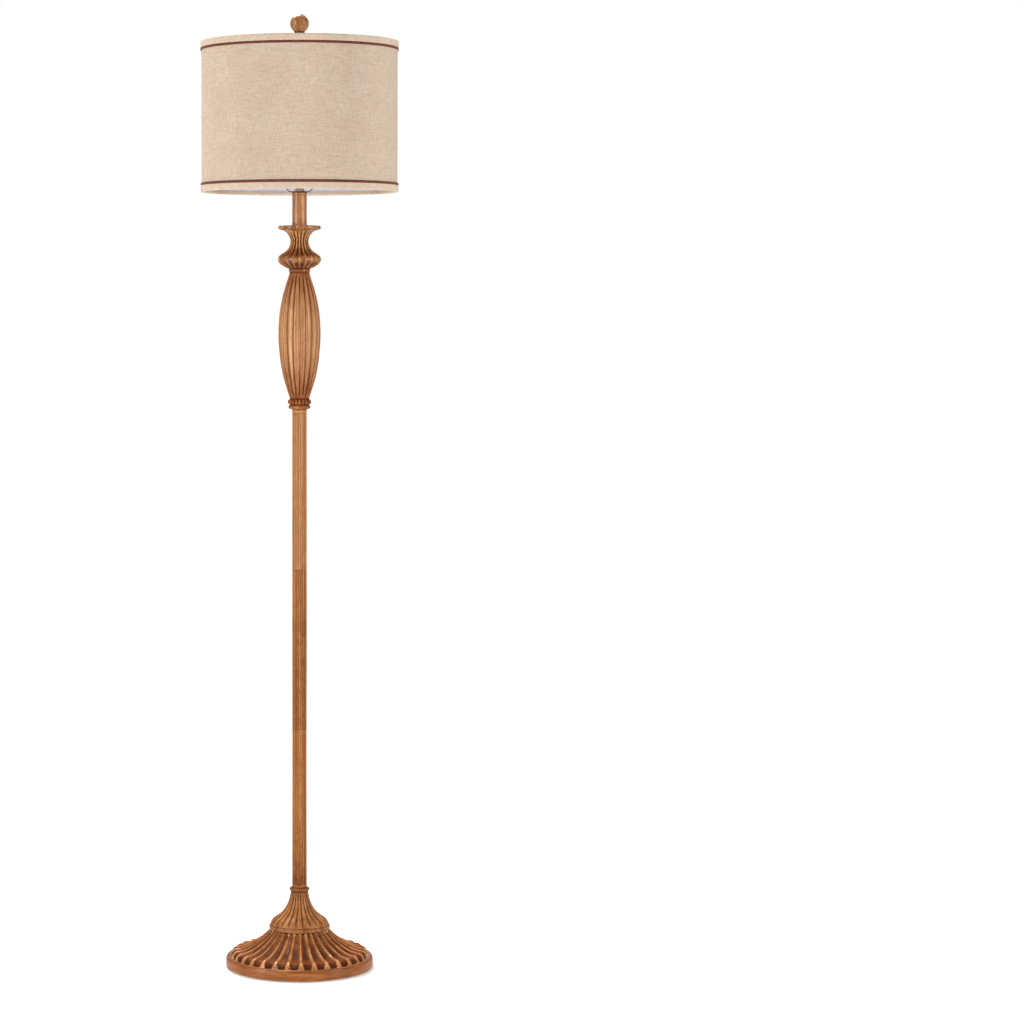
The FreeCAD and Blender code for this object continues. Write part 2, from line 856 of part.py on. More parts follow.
def make_top_trim():
    """The upper band, slit where the arms of the spider pass through its fold."""
    slit = Part.makeCylinder(
        spider_arm_radius + glue_gap,
        shade_ring_radius,
        Vector(0, 0, shade_wire_z),
        Vector(1, 0, 0),
    )
    slits = turned_copies(slit, spider_arm_count, spider_arm_turn)
    return trim_band(shade_top, -1).cut(Part.makeCompound(slits))


def piping(low):
    inner_radius = linen_radius + glue_gap
    edge_radius = inner_radius + piping_edge_thickness
    return bead(inner_radius, edge_radius, shade_radius, low, low + piping_height)


# Finial

def make_finial_insert():
    bore_radius = stud_radius + thread_clearance
    return tube(insert_radius, bore_radius, finial_low, finial_low + insert_height)


def make_finial_ball():
    """Ball, bead, hollow neck and foot turned in one piece, bored for the insert."""
    top = finial_low + finial_height
    ball_centre = top - finial_ball_radius
    ball_end_z = ball_centre - math.sqrt(finial_ball_radius ** 2 - finial_bead_radius ** 2)
    bead_low = ball_end_z - finial_bead_height
    foot_top = finial_low + finial_foot_height
    bore_radius = insert_radius + running_clearance
    bore_top = finial_low + insert_height + insert_end_gap
    outline = arc(
        at(finial_bead_radius, ball_end_z), at(finial_ball_radius, ball_centre), at(0, top),
    )
    outline += straight(
        at(0, top), at(0, bore_top), at(bore_radius, bore_top), at(bore_radius, finial_low),
        at(finial_foot_radius, finial_low), at(finial_foot_radius, foot_top),
    )
    outline += arc(
        at(finial_foot_radius, foot_top),
        at(finial_neck_radius, (foot_top + bead_low) / 2),
        at(finial_bead_radius, bead_low),
    )
    outline += straight(at(finial_bead_radius, bead_low), at(finial_bead_radius, ball_end_z))
    return turned(outline)


parts = {
    "foot_pads": make_foot_pads(),
    "base_cover": make_base_cover(),
    "base_dish": make_base_dish(),
    "base_weight": make_base_weight(),
    "base_washer": make_base_washer(),
    "base_nut": make_base_nut(),
    "base_pipe": make_base_pipe(),
    "cord_bushing": make_cord_bushing(),
    "base_bell": make_base_bell(),
    "base_collar_ring": make_base_collar_ring(),
    "pole_lower": make_pole_section(0),
    "pole_middle": make_pole_section(1),
    "pole_upper": make_pole_section(2),
    "pole_inserts": make_pole_inserts(),
    "pole_nipples": make_pole_nipples(),
    "gadroon_collar": make_gadroon_collar(),
    "baluster": make_baluster(),
    "baluster_ring": make_baluster_ring(),
    "vase": make_vase(),
    "neck_tube": make_neck_tube(),
    "neck_ring": make_neck_ring(),
    "neck_cap": make_neck_cap(),
    "upper_pipe": make_upper_pipe(),
    "harp_saddle": make_harp_saddle(),
    "saddle_nut": make_saddle_nut(),
    "harp_wire": make_harp_wire(),
    "harp_seat": make_harp_seat(),
    "harp_sleeve_left": make_harp_sleeve(-1),
    "harp_sleeve_right": make_harp_sleeve(1),
    "socket_cap": make_socket_cap(),
    "socket_set_screw": make_socket_set_screw(),
    "socket_shell": make_socket_shell(),
    "socket_insulator": make_socket_insulator(),
    "socket_body": make_socket_body(),
    "centre_contact": make_centre_contact(),
    "screw_shell": make_screw_shell(),
    "switch_shaft": make_switch_shaft(),
    "switch_knob": make_switch_knob(),
    "spider_hub": make_spider_hub(),
    "spider_arms": make_spider_arms(),
    "shade_top_ring": shade_ring(shade_wire_z),
    "shade_bottom_ring": shade_ring(shade_low + trim_edge_thickness + shade_wire_radius),
    "shade_liner": make_shade_liner(),
    "linen_cover": make_linen_cover(),
    "top_trim": make_top_trim(),
    "bottom_trim": trim_band(shade_low, 1),
    "top_piping": piping(shade_top - trim_height - piping_height),
    "bottom_piping": piping(shade_low + trim_height),
    "finial_insert": make_finial_insert(),
    "finial_ball": make_finial_ball(),
}

os.makedirs("parts", exist_ok=True)
for name, shape in parts.items():
    shape.exportStep(os.path.join("parts", name + ".step"))
    print(name, "solids", len(shape.Solids), "volume", round(shape.Volume), "valid", shape.isValid())

print("switch height", switch_z)
print("screw shell bore", body_top + screw_shell_wall, body_top + screw_shell_height)
print("shade", shade_low, shade_top, "seat", seat_top, "harp tip", harp_tip)
print("overall height", finial_low + finial_height)
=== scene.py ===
# %% [markdown]
# # A carved floor lamp with a linen drum shade
#
# The lamp stands on a ribbed round base. A fluted pole in three screwed sections carries a baluster, a vase
# and a drum shade of linen. The frame already holds every working part at its real size. This lesson gives
# the lamp its looks: the carving, the wood finish, the woven cloth, and a plain studio to see them in.

# %% Load the frame
import json
import math

import bpy
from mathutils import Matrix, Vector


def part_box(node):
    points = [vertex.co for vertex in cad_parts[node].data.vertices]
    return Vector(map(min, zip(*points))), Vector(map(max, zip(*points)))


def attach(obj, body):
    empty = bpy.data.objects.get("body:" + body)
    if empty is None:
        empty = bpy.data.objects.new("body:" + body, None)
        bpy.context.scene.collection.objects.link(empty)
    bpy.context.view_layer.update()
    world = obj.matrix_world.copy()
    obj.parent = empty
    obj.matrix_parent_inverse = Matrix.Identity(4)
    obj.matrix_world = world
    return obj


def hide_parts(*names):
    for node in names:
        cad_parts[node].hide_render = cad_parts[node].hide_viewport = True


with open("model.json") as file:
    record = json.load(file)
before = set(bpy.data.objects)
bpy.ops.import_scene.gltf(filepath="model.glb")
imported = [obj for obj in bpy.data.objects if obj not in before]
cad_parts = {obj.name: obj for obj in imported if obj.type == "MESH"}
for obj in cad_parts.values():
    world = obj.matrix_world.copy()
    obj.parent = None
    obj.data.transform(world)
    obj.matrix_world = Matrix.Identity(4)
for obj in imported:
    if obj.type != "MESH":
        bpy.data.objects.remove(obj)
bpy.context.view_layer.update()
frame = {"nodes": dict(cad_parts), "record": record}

mm = 0.001
nodes = frame["nodes"]

# %% [markdown]
# ## The camera
#
# A picture fixes a camera by a few measures: how far away it stood, how much it tipped down, and how long
# its lens was. The ellipses of the base and of the shade give the first two, and the height of the lamp in
# the picture gives the third. The lamp stands left of the middle, so the sensor is shifted sideways instead
# of turning the camera, which would make the pole lean.

# %% Camera


def new_object(name, data):
    """An object of this name and data, linked to the scene."""
    thing = bpy.data.objects.new(name, data)
    bpy.context.scene.collection.objects.link(thing)
    return thing


picture_width = 1024    # pixels
focal_length = 2927.3   # in pixels of the picture
lamp_axis = 299.5       # the column of the picture in which the lamp stands
sensor_width = 36.0     # millimetres
camera_distance = 4.9106
camera_height = 1.1323
camera_tip = 4.17       # degrees downwards

lens = bpy.data.cameras.new("camera")
lens.sensor_width = sensor_width
lens.lens = focal_length / picture_width * sensor_width
lens.shift_x = (picture_width / 2 - lamp_axis) / picture_width
lens.clip_end = 200
camera = new_object("camera", lens)
camera.location = (0, -camera_distance, camera_height)
camera.rotation_euler = (math.radians(90 - camera_tip), 0, 0)
bpy.context.scene.camera = camera
print("lens", round(lens.lens, 1), "mm, shift", round(lens.shift_x, 4))

# %% [markdown]
# ## The studio
#
# Polished wood shows its shape by what it mirrors. Two tall soft lights, nearly 60 degrees to the left and
# right of the camera, draw the two pale lines down every upright cylinder. A smaller light high behind the
# lamp, where the shade does not shut it off, sets glints on the crest of the base, and a weak pale backdrop
# lights the far side. The rest comes from a white room. Room and floor light the lamp less than the camera
# sees them, so that the soft lights still have something to add.

# %% Lights


def soft_light(name, place, aim, width, height, power):
    """A soft rectangular light that shines from its place towards the aim."""
    lamp = bpy.data.lights.new(name, "AREA")
    lamp.shape = "RECTANGLE"
    lamp.size = width
    lamp.size_y = height
    lamp.energy = power
    holder = new_object(name, lamp)
    holder.location = place
    across = [a - p for a, p in zip(aim, place)]
    heading = math.atan2(-across[0], across[1])
    fall = math.atan2(across[2], math.hypot(across[0], across[1]))
    holder.rotation_euler = (math.radians(90) + fall, 0, heading)
    holder.visible_camera = False


# place in metres, height aimed at, width and height in metres, power in watts
studio_lights = {
    "left_softbox": ((-2.6, -1.69, 1.25), 0.95, 0.8, 2.6, 77),
    "right_softbox": ((2.68, -1.55, 1.25), 0.95, 0.8, 2.6, 68),
    "top_softbox": ((-0.4, 1.1, 2.9), 0.3, 1.0, 1.0, 55),
    "backdrop": ((0, 3.6, 1.6), 0.8, 3.2, 1.8, 14),
}
for name, (place, aim, width, height, power) in studio_lights.items():
    soft_light(name, place, (0, 0, aim), width, height, power)
print("soft lights:", *studio_lights)

# %% [markdown]
# ## Small helpers for node trees
#
# Every finish and the carving itself are node trees. They could be wired by hand in the node editor, but
# then eleven woods would have to be wired eleven times. Here one helper places a node, sets its choices and
# fills its inputs with values or with another node's output, so a whole tree reads from top to bottom like a
# recipe. An output knows its own tree, so the helpers for arithmetic, masks and colours need only values.

# %% Placing a node


def put(tree, kind, inputs=None, **choices):
    """Places a node. Inputs are values or other nodes' outputs, by name or by number."""
    node = tree.nodes.new(kind)
    for name, value in choices.items():
        setattr(node, name, value)
    for key, value in (inputs or {}).items():
        if isinstance(value, bpy.types.NodeSocket):
            tree.links.new(value, node.inputs[key])
        else:
            node.inputs[key].default_value = value
    return node.outputs


def tree_of(*values):
    """The node tree that the first output among these values belongs to."""
    return next(value.id_data for value in values if isinstance(value, bpy.types.NodeSocket))


print("helpers that place a node and find its tree")

# %% Arithmetic, noise and places


def maths(operation, *values):
    return put(tree_of(*values), "ShaderNodeMath", dict(enumerate(values)), operation=operation)[0]


def plus(first, second):
    return maths("ADD", first, second)


def minus(first, second):
    return maths("SUBTRACT", first, second)


def times(first, second):
    return maths("MULTIPLY", first, second)


def over(first, second):
    return maths("DIVIDE", first, second)


def noise(where, scale, detail, **more):
    """Blender's noise texture, read at a place. More may be its roughness and its distortion."""
    inputs = {"Vector": where, "Scale": scale, "Detail": detail}
    inputs.update({name.capitalize(): value for name, value in more.items()})
    return put(tree_of(where), "ShaderNodeTexNoise", inputs)[0]


def fade(value, low, high, start=0.0, end=1.0):
    """The value, turned into a smooth share that starts at low and ends at high."""
    ends = {"Value": value, "From Min": low, "From Max": high, "To Min": start, "To Max": end}
    return put(tree_of(value), "ShaderNodeMapRange", ends, interpolation_type="SMOOTHSTEP")[0]


def split(vector):
    return put(tree_of(vector), "ShaderNodeSeparateXYZ", {0: vector})


def joined(x, y, z):
    return put(tree_of(x, y, z), "ShaderNodeCombineXYZ", {0: x, 1: y, 2: z})[0]


def object_place(tree):
    """The place on the piece, in metres."""
    return put(tree, "ShaderNodeTexCoord")["Object"]


print("helpers for sums, masks, noise and places")

# %% Groups and colours


def new_group(name, kind, inputs, outputs):
    """A node group with named sockets. Returns the tree and the outputs of its input node."""
    tree = bpy.data.node_groups.new(name, kind)
    for label, socket_type, value in inputs:
        socket = tree.interface.new_socket(label, in_out="INPUT", socket_type=socket_type)
        if value is not None:
            socket.default_value = value
    for label, socket_type in outputs:
        tree.interface.new_socket(label, in_out="OUTPUT", socket_type=socket_type)
    return tree, put(tree, "NodeGroupInput")


def end_group(tree, **results):
    put(tree, "NodeGroupOutput", {name.replace("_", " "): socket for name, socket in results.items()})


def tint(code):
    """A colour written as six hexadecimal digits, made linear for the shaders."""
    shares = [int(code[start:start + 2], 16) / 255 for start in (0, 2, 4)]
    linear = [s / 12.92 if s <= 0.04045 else ((s + 0.055) / 1.055) ** 2.4 for s in shares]
    return (*linear, 1.0)


def blend(share, first, second):
    """Colour mixed from the first to the second by the share."""
    mix = put(tree_of(share), "ShaderNodeMix", {0: share, 6: first, 7: second}, data_type="RGBA")
    return mix[2]


print("a middle brown in linear light:", [round(share, 3) for share in tint("C87C38")])

# %% [markdown]
# ## White room and pale floor
#
# The floor is one very large pale sheet, so that its far edge melts into the room behind. The room looks
# white to the camera, and a light path tells the camera's rays from the rays that light the lamp. A curved
# paper backdrop, as studios use, would also work, but it would have to be built anew for each side that the
# lamp is seen from.

# %% Room
room_light = 0.17
room = bpy.data.worlds.new("white_room")
room.use_nodes = True
room.node_tree.nodes.clear()
seen = put(room.node_tree, "ShaderNodeLightPath")["Is Camera Ray"]
glow = fade(seen, 0.0, 1.0, room_light, 1.0)
backing = put(room.node_tree, "ShaderNodeBackground", {"Color": (1, 1, 1, 1), "Strength": glow})[0]
put(room.node_tree, "ShaderNodeOutputWorld", {"Surface": backing})
bpy.context.scene.world = room
bpy.context.scene.view_settings.view_transform = "Standard"
print("room gives the lamp", room_light, "of the white that the camera sees")

# %% Floor
floor_half = 150.0
near_floor_light, far_floor_light = 0.30, 1.0
near, far = 0.3, 2.2
floor_light_on_lamp = 0.2

floor_mesh = bpy.data.meshes.new("floor")
corners = [(x * floor_half, y * floor_half, 0) for x, y in ((-1, -1), (1, -1), (1, 1), (-1, 1))]
floor_mesh.from_pydata(corners, [], [(0, 1, 2, 3)])
floor = new_object("floor", floor_mesh)

pale_floor = bpy.data.materials.new("pale_floor")
pale_floor.use_nodes = True
tree = pale_floor.node_tree
paint = tree.nodes["Principled BSDF"].inputs
speckle = put(tree, "ShaderNodeTexNoise", {"Scale": 3.0, "Detail": 2.0})[0]
tree.links.new(blend(speckle, tint("F6F6F6"), tint("FAFAFA")), paint["Base Color"])
paint["Roughness"].default_value = 0.9
paint["Specular IOR Level"].default_value = 0.1
paint["Emission Color"].default_value = (1, 1, 1, 1)
# The floor glows by itself, a painted light: faint within 0.3 m of the axis, full from 2.2 m out.
away = put(tree, "ShaderNodeVectorMath", {0: object_place(tree)}, operation="LENGTH")["Value"]
own_light = fade(away, near, far, near_floor_light, far_floor_light)
seen = put(tree, "ShaderNodeLightPath")["Is Camera Ray"]
own_light = times(own_light, fade(seen, 0.0, 1.0, floor_light_on_lamp, 1.0))
tree.links.new(own_light, paint["Emission Strength"])
floor_mesh.materials.append(pale_floor)
print("floor", 2 * floor_half, "m wide")

# %% [markdown]
# ## Shared effects of the wood finish
#
# The lamp is finished like stained wood under a brown glaze. Three effects make that look, and each is a
# node group that gives out only masks:
#
# - grain, which is noise stretched along the turned surface. It is drawn in turned coordinates, so it runs
#   up a pole, outwards over a dome or round a rim, whichever the piece needs;
# - mottling, the fine soft spots and the small dark flecks of a distressed finish;
# - glaze, which pools in the grooves. The carving stores how deep each point lies, and the glaze reads it.
#   The same group also gives the paler high parts, partly rubbed wear and partly a painted highlight.
#
# A picture of wood could be wrapped round each piece instead, but it would stretch over the carving and show
# a seam, and the glaze could not know where the grooves are.

# %% Grain
number = "NodeSocketFloat"
nearest_to_axis = 0.0005


def surface_value(tree, name):
    """What the carving stored on the surface under this name."""
    return put(tree, "ShaderNodeAttribute", attribute_name=name)["Fac"]


def grain_group():
    """Streaks in turned coordinates: how fast they change around, along and across the axis."""
    inputs = [("Around", number, 12.0), ("Along", number, 8.0), ("Across", number, 0.0),
              ("Detail", number, 4.0), ("Low", number, 0.35), ("High", number, 0.65), ("Seed", number, 0.0)]
    tree, given = new_group("turned_grain", "ShaderNodeTree", inputs, [("Mask", number)])
    place = split(object_place(tree))
    radius = maths("SQRT", plus(times(place[0], place[0]), times(place[1], place[1])))
    turn = over(given["Around"], maths("MAXIMUM", radius, nearest_to_axis))
    height = plus(times(place[2], given["Along"]), times(radius, given["Across"]))
    where = joined(times(place[0], turn), times(place[1], turn), plus(height, given["Seed"]))
    streaks = noise(where, 1.0, given["Detail"], roughness=0.62, distortion=0.25)
    end_group(tree, Mask=fade(streaks, given["Low"], given["High"]))
    return tree


grain = grain_group()
print(grain.name, "has", len(grain.nodes), "nodes")

# %% Mottling


def mottle_group():
    """Fine uneven spots, a little longer up and down than across: soft ones and small dark flecks."""
    inputs = [("Size", number, 0.0016), ("Seed", number, 0.0)]
    tree, given = new_group("mottling", "ShaderNodeTree", inputs, [("Soft", number), ("Fleck", number)])
    place = split(object_place(tree))
    where = joined(place[0], place[1], plus(times(place[2], 0.5), given["Seed"]))
    scale = over(1.0, given["Size"])

    def spots(finer, detail):
        return noise(where, times(scale, finer), detail, roughness=0.6)

    broad = spots(0.14, 2.0)
    both = maths("MULTIPLY_ADD", broad, 0.4, times(spots(1.0, 3.0), 0.6))
    fleck = times(fade(spots(1.5, 1.0), 0.58, 0.66), fade(broad, 0.38, 0.60))
    end_group(tree, Soft=fade(both, 0.455, 0.565), Fleck=fleck)
    return tree


mottling = mottle_group()
print(mottling.name, "has", len(mottling.nodes), "nodes")

# %% Pooled glaze


def glaze_group():
    """Where glaze has pooled, and the paler high parts: partly rubbed off, partly a painted highlight."""
    inputs = [("Low", number, 0.15), ("High", number, 0.9), ("Unevenness", number, 0.25),
              ("Hollow", number, 0.0), ("Reach", number, 0.18)]
    tree, given = new_group("pooled_glaze", "ShaderNodeTree", inputs,
                            [("Pooled", number), ("Rubbed", number)])
    groove, line = surface_value(tree, "groove"), surface_value(tree, "glaze")
    where = object_place(tree)
    uneven = minus(noise(where, 260.0, 3.0), 0.5)
    shaken = times(uneven, given["Unevenness"])
    pool = fade(plus(groove, shaken), given["Low"], given["High"])
    on_land = times(given["Hollow"], fade(groove, 0.55, 0.15))
    line = times(fade(plus(line, shaken), 0.1, 0.9), minus(1.0, on_land))
    high_part = plus(groove, times(shaken, 0.6))
    # High parts get the paler mask: partly rubbed wear, partly a painted highlight on ribs and lands.
    end_group(tree, Pooled=maths("MAXIMUM", pool, line),
              Rubbed=fade(high_part, given["Reach"], 0.0))
    return tree


pooled = glaze_group()
print(pooled.name, "has", len(pooled.nodes), "nodes")

# %% [markdown]
# ## The wood finish
#
# One recipe serves every wooden piece: a middle brown, paler and darker streaks of grain, fine mottling with
# dark flecks, glaze in the hollows and a paler tone on the high parts, which is partly rubbed wear and partly
# a painted highlight along ribs and lands. A satin coat of lacquer draws the soft highlights. Each piece gets
# its own tones and its own direction of grain, because the pole is calm and straight-grained while the vase
# and the finial are mottled. The carving also stores a number for age and shading. Above nought the colour
# grows darker and the mottling denser, and below the pole's collar that darkening is painted shadow. Below
# nought the middle brown is blended in as a painted highlight that lightens the crest of the base.
#
# Each wood could have its own tree, but then a change to the glaze would have to be made in all of them. One
# function with many plain numbers keeps them alike.

# %% Parts of a finish


def group_node(tree, group, **values):
    return put(tree, "ShaderNodeGroup", {k.replace("_", " "): v for k, v in values.items()}, node_tree=group)


def new_finish(name):
    """An empty material with one Principled shader. Returns its tree and the shader's inputs."""
    finish = bpy.data.materials.new(name)
    finish.use_nodes = True
    return finish, finish.node_tree, finish.node_tree.nodes["Principled BSDF"].inputs


def raised(height, distance, strength):
    inputs = {"Height": height, "Distance": distance, "Strength": strength}
    return put(tree_of(height), "ShaderNodeBump", inputs)[0]


print("helpers for an empty finish, its groups and its bump")

# %% Wood finish


def wood_finish(name, pale, middle, dark, pool="5C2A0C", around=14.0, along=9.0, across=0.0, streaks=0.8,
                mottle=0.4, mottle_size=0.0016, flecks=0.4, pooling=0.9, low=0.15, high=0.9, hollow=0.0,
                rub_and_highlight=0.2, reach=0.18, roughness=0.40, coat=0.35, coat_roughness=0.33, seed=0.0):
    """Stained wood under brown glaze. Pale, middle, dark and pool are tones. The rest say how much."""
    finish, tree, paint = new_finish(name)
    wide = group_node(tree, grain, Around=around * 0.45, Along=along * 0.6, Across=across * 0.6, Detail=3.0,
                      Low=0.34, High=0.66, Seed=seed)[0]
    fine = group_node(tree, grain, Around=around * 2.0, Along=along * 1.3, Across=across * 1.3, Detail=5.0,
                      Low=0.40, High=0.62, Seed=seed + 3.7)[0]
    spots = group_node(tree, mottling, Size=mottle_size, Seed=seed)
    glaze = group_node(tree, pooled, Low=low, High=high, Hollow=hollow, Reach=reach)
    stored = surface_value(tree, "age_and_shading")
    age_and_shading = maths("MAXIMUM", stored, 0.0)
    # Values below nought are a painted highlight, lightening the crest of the base towards the middle brown.
    painted_crest_light = maths("MAXIMUM", times(stored, -1.0), 0.0)
    wear = maths("MULTIPLY_ADD", age_and_shading, 0.6, mottle)
    colour = blend(times(wide, streaks), tint(middle), tint(pale))
    for share, tone in ((times(fine, min(1.0, streaks * 0.75)), dark),
                        # paler high parts: partly rubbed wear, partly a painted highlight
                        (times(glaze["Rubbed"], rub_and_highlight), pale),
                        # darker where age and shading is above nought; below the pole's collar this is
                        # painted shadow
                        (times(age_and_shading, 0.6), dark),
                        (times(spots["Soft"], wear), dark),
                        (times(spots["Fleck"], flecks), pool),
                        (times(glaze["Pooled"], pooling), pool),
                        # painted highlight on the crest of the base
                        (painted_crest_light, middle)):
        colour = blend(share, colour, tint(tone))
    tree.links.new(colour, paint["Base Color"])
    uneven = maths("MULTIPLY_ADD", fine, 0.10, times(spots["Soft"], 0.10))
    uneven = maths("MULTIPLY_ADD", glaze["Pooled"], 0.25, uneven)
    tree.links.new(plus(uneven, roughness - 0.08), paint["Roughness"])
    dull = maths("MAXIMUM", glaze["Pooled"], times(age_and_shading, 0.7))
    tree.links.new(times(minus(1.0, dull), coat), paint["Coat Weight"])
    paint["Specular IOR Level"].default_value = 0.12
    paint["Coat Roughness"].default_value = coat_roughness
    rise = minus(times(fine, 0.4), spots["Fleck"])
    rise = maths("MULTIPLY_ADD", spots["Soft"], -0.4, rise)
    tree.links.new(raised(rise, 0.00012, 0.6), paint["Normal"])
    return finish


print("wood is mixed from", grain.name, mottling.name, pooled.name)

# %% The woods
straight_grain = {"around": 7, "along": 3, "mottle": 0.2, "streaks": 1.0, "flecks": 0.2, "high": 0.8,
                  "rub_and_highlight": 0.35}
pole_wood = wood_finish("pole_wood", "FAAB60", "C87C38", "763A0C", pool="4A1C03", pooling=0.85,
                        **straight_grain)
upper_pole_wood = wood_finish("upper_pole_wood", "F4BA80", "CE8C50", "93511C", pool="6B330C", pooling=0.75,
                              seed=0.7, **straight_grain)
baluster_wood = wood_finish("baluster_wood", "E0B07A", "BC7E44", "823A08", pool="622603", around=19, along=4,
                            mottle=0.2, streaks=1.1, low=0.12, high=1.0, pooling=0.85, seed=1.3)
vase_wood = wood_finish("vase_wood", "E4AC6E", "B06830", "682C08", pool="4A1903", around=16, along=14,
                        mottle=0.5, streaks=0.6, flecks=0.65, low=0.12, high=0.95, rub_and_highlight=0.5, reach=0.3,
                        coat=0.5, coat_roughness=0.18, seed=2.1)
neck_wood = wood_finish("neck_wood", "CB9156", "A56632", "6E350E", around=6, mottle=0.45, flecks=0.5,
                        mottle_size=0.0012, roughness=0.36, coat=1.0, seed=4.4)
finial_wood = wood_finish("finial_wood", "E6A86C", "BA763A", "804214", around=7, along=26, mottle=0.65,
                          streaks=0.5, flecks=0.5, mottle_size=0.0013, roughness=0.38, coat=0.7, seed=5.2)
grain_of_rings = {"around": 8, "along": 20, "streaks": 0.5, "low": 0.1, "high": 0.8}
collar_wood = wood_finish("collar_wood", "D48C4A", "A85D28", "622806", mottle=0.7, flecks=0.6, seed=6.1,
                          **grain_of_rings)
ring_wood = wood_finish("ring_wood", "AE723C", "82471E", "4E2006", mottle=0.6, flecks=0.5, seed=6.6,
                        **grain_of_rings)
bell_wood = wood_finish("bell_wood", "D8985C", "A05B29", "6C310C", around=13, along=10, mottle=0.35,
                        flecks=0.25, low=0.12, high=0.85, pooling=0.85, rub_and_highlight=0.6, coat=0.25, seed=7.7)
# The dome's strong pale tone along its ribs is partly rubbed wear and partly a painted highlight.
dome_wood = wood_finish("dome_wood", "F6AE68", "A65A26", "6A2A08", pool="4A1A03", around=13, along=8,
                        across=5, mottle=0.35, flecks=0.3, low=0.10, high=0.70, hollow=1.0, pooling=0.85,
                        rub_and_highlight=0.95, reach=0.24, roughness=0.36, coat=1.0, coat_roughness=0.16, seed=8.5)
plinth_wood = wood_finish("plinth_wood", "B87235", "985724", "70360E", around=2.2, along=170, mottle=0.0,
                          flecks=0.0, pooling=0.7, rub_and_highlight=0.0, seed=9.3)
print("each wood finish has", len(pole_wood.node_tree.nodes), "nodes")

# %% [markdown]
# ## Carved turnings, made by one tree
#
# Every wooden piece here is turned on a lathe and then carved with the same groove again and again round
# its axis. That is a rule, so one Geometry Nodes tree can make them all:
#
# 1. the piece's outline comes in as a wire of a few knots, traced upwards on the outside;
# 2. the wire becomes a smooth curve that stays sharp at the knots marked as corners;
# 3. a grid is laid over the surface, one column per step round the axis and one row per point of the curve;
# 4. each point of the grid is pushed in along the outline's normal, by a groove shape that repeats round
#    the axis. The knots say how deep and how wide the groove is at their height;
# 5. the depth is stored, so that the glaze can find it.
#
# A Boolean cut with a cutter for each groove would also work, but it leaves ragged edges where a groove
# runs out, and the depth would not be known to the finish.

# %% Inputs of the carving
turning_inputs = [
    ("Outline", "NodeSocketGeometry", None), ("Closed", "NodeSocketBool", True),
    ("Steps", "NodeSocketInt", 6), ("Columns", "NodeSocketInt", 240), ("Grooves", "NodeSocketInt", 1),
    ("Depth", number, 0.0), ("First groove", number, 0.0), ("Bottom roundness", number, 2.0),
    ("Land roundness", number, 1.0), ("Wobble", number, 0.0), ("Wobble size", number, 0.03),
    ("Unrolled radius", number, 0.1), ("Finish", "NodeSocketMaterial", None),
]
print("the carving has", len(turning_inputs), "inputs")

# %% Steps 1 and 2, the outline


def geometry(tree, kind, inputs=None, **choices):
    """The first output of a geometry node."""
    return put(tree, "GeometryNode" + kind, inputs, **choices)[0]


def outline_curve(tree, given):
    """Steps 1 and 2: the wire of knots becomes a curve with smooth spans and sharp corners."""
    wire = geometry(tree, "MeshToCurve", {"Mesh": given["Outline"]})
    wire = geometry(tree, "SetSplineCyclic", {"Geometry": wire, "Cyclic": given["Closed"]})
    wire = geometry(tree, "CurveSplineType", {"Curve": wire}, spline_type="BEZIER")
    corner = geometry(tree, "InputNamedAttribute", {"Name": "corner"}, data_type="BOOLEAN")
    wire = geometry(tree, "CurveSetHandles", {"Curve": wire, "Selection": corner}, handle_type="VECTOR")
    bend = put(tree, "FunctionNodeBooleanMath", {0: corner}, operation="NOT")[0]
    wire = geometry(tree, "CurveSetHandles", {"Curve": wire, "Selection": bend}, handle_type="AUTO")
    wire = geometry(tree, "SetSplineResolution", {"Geometry": wire, "Resolution": given["Steps"]})
    return geometry(tree, "ResampleCurve", {"Curve": wire}, mode="EVALUATED")


print("helper that turns a wire of knots into a curve")

# %% Groove and surface
narrowest_groove = 0.02
sharp_angle = math.radians(38)
seam_merge = 0.01 * mm


def groove_shape(given, turn, width):
    """How deep the groove is on its way round, from nought on the land to one at its bottom."""
    from_front = minus(plus(turn, math.pi), given["First groove"])
    share = times(from_front, over(given["Grooves"], 2 * math.pi))
    swing = maths("ABSOLUTE", minus(times(maths("FRACT", share), 2), 1))
    reach = over(minus(1, swing), maths("MAXIMUM", width, narrowest_groove))
    fall = maths("POWER", maths("MINIMUM", reach, 1), given["Bottom roundness"])
    return maths("POWER", minus(1, fall), given["Land roundness"])


def finished_surface(tree, body, finish):
    """The seam is closed, smooth faces and sharp edges are told apart, and the finish goes on."""
    body = geometry(tree, "MergeByDistance", {"Geometry": body, "Distance": seam_merge})
    body = geometry(tree, "SetShadeSmooth", {"Geometry": body, "Shade Smooth": True})
    hard = maths("GREATER_THAN", geometry(tree, "InputMeshEdgeAngle"), sharp_angle)
    creased = {"Geometry": body, "Selection": hard, "Shade Smooth": False}
    body = geometry(tree, "SetShadeSmooth", creased, domain="EDGE")
    body = geometry(tree, "RealizeInstances", {"Geometry": body})
    return geometry(tree, "SetMaterial", {"Geometry": body, "Material": finish})


print("edges sharper than", round(math.degrees(sharp_angle)), "degrees stay sharp")

# %% Steps 3 to 5, the carving tree


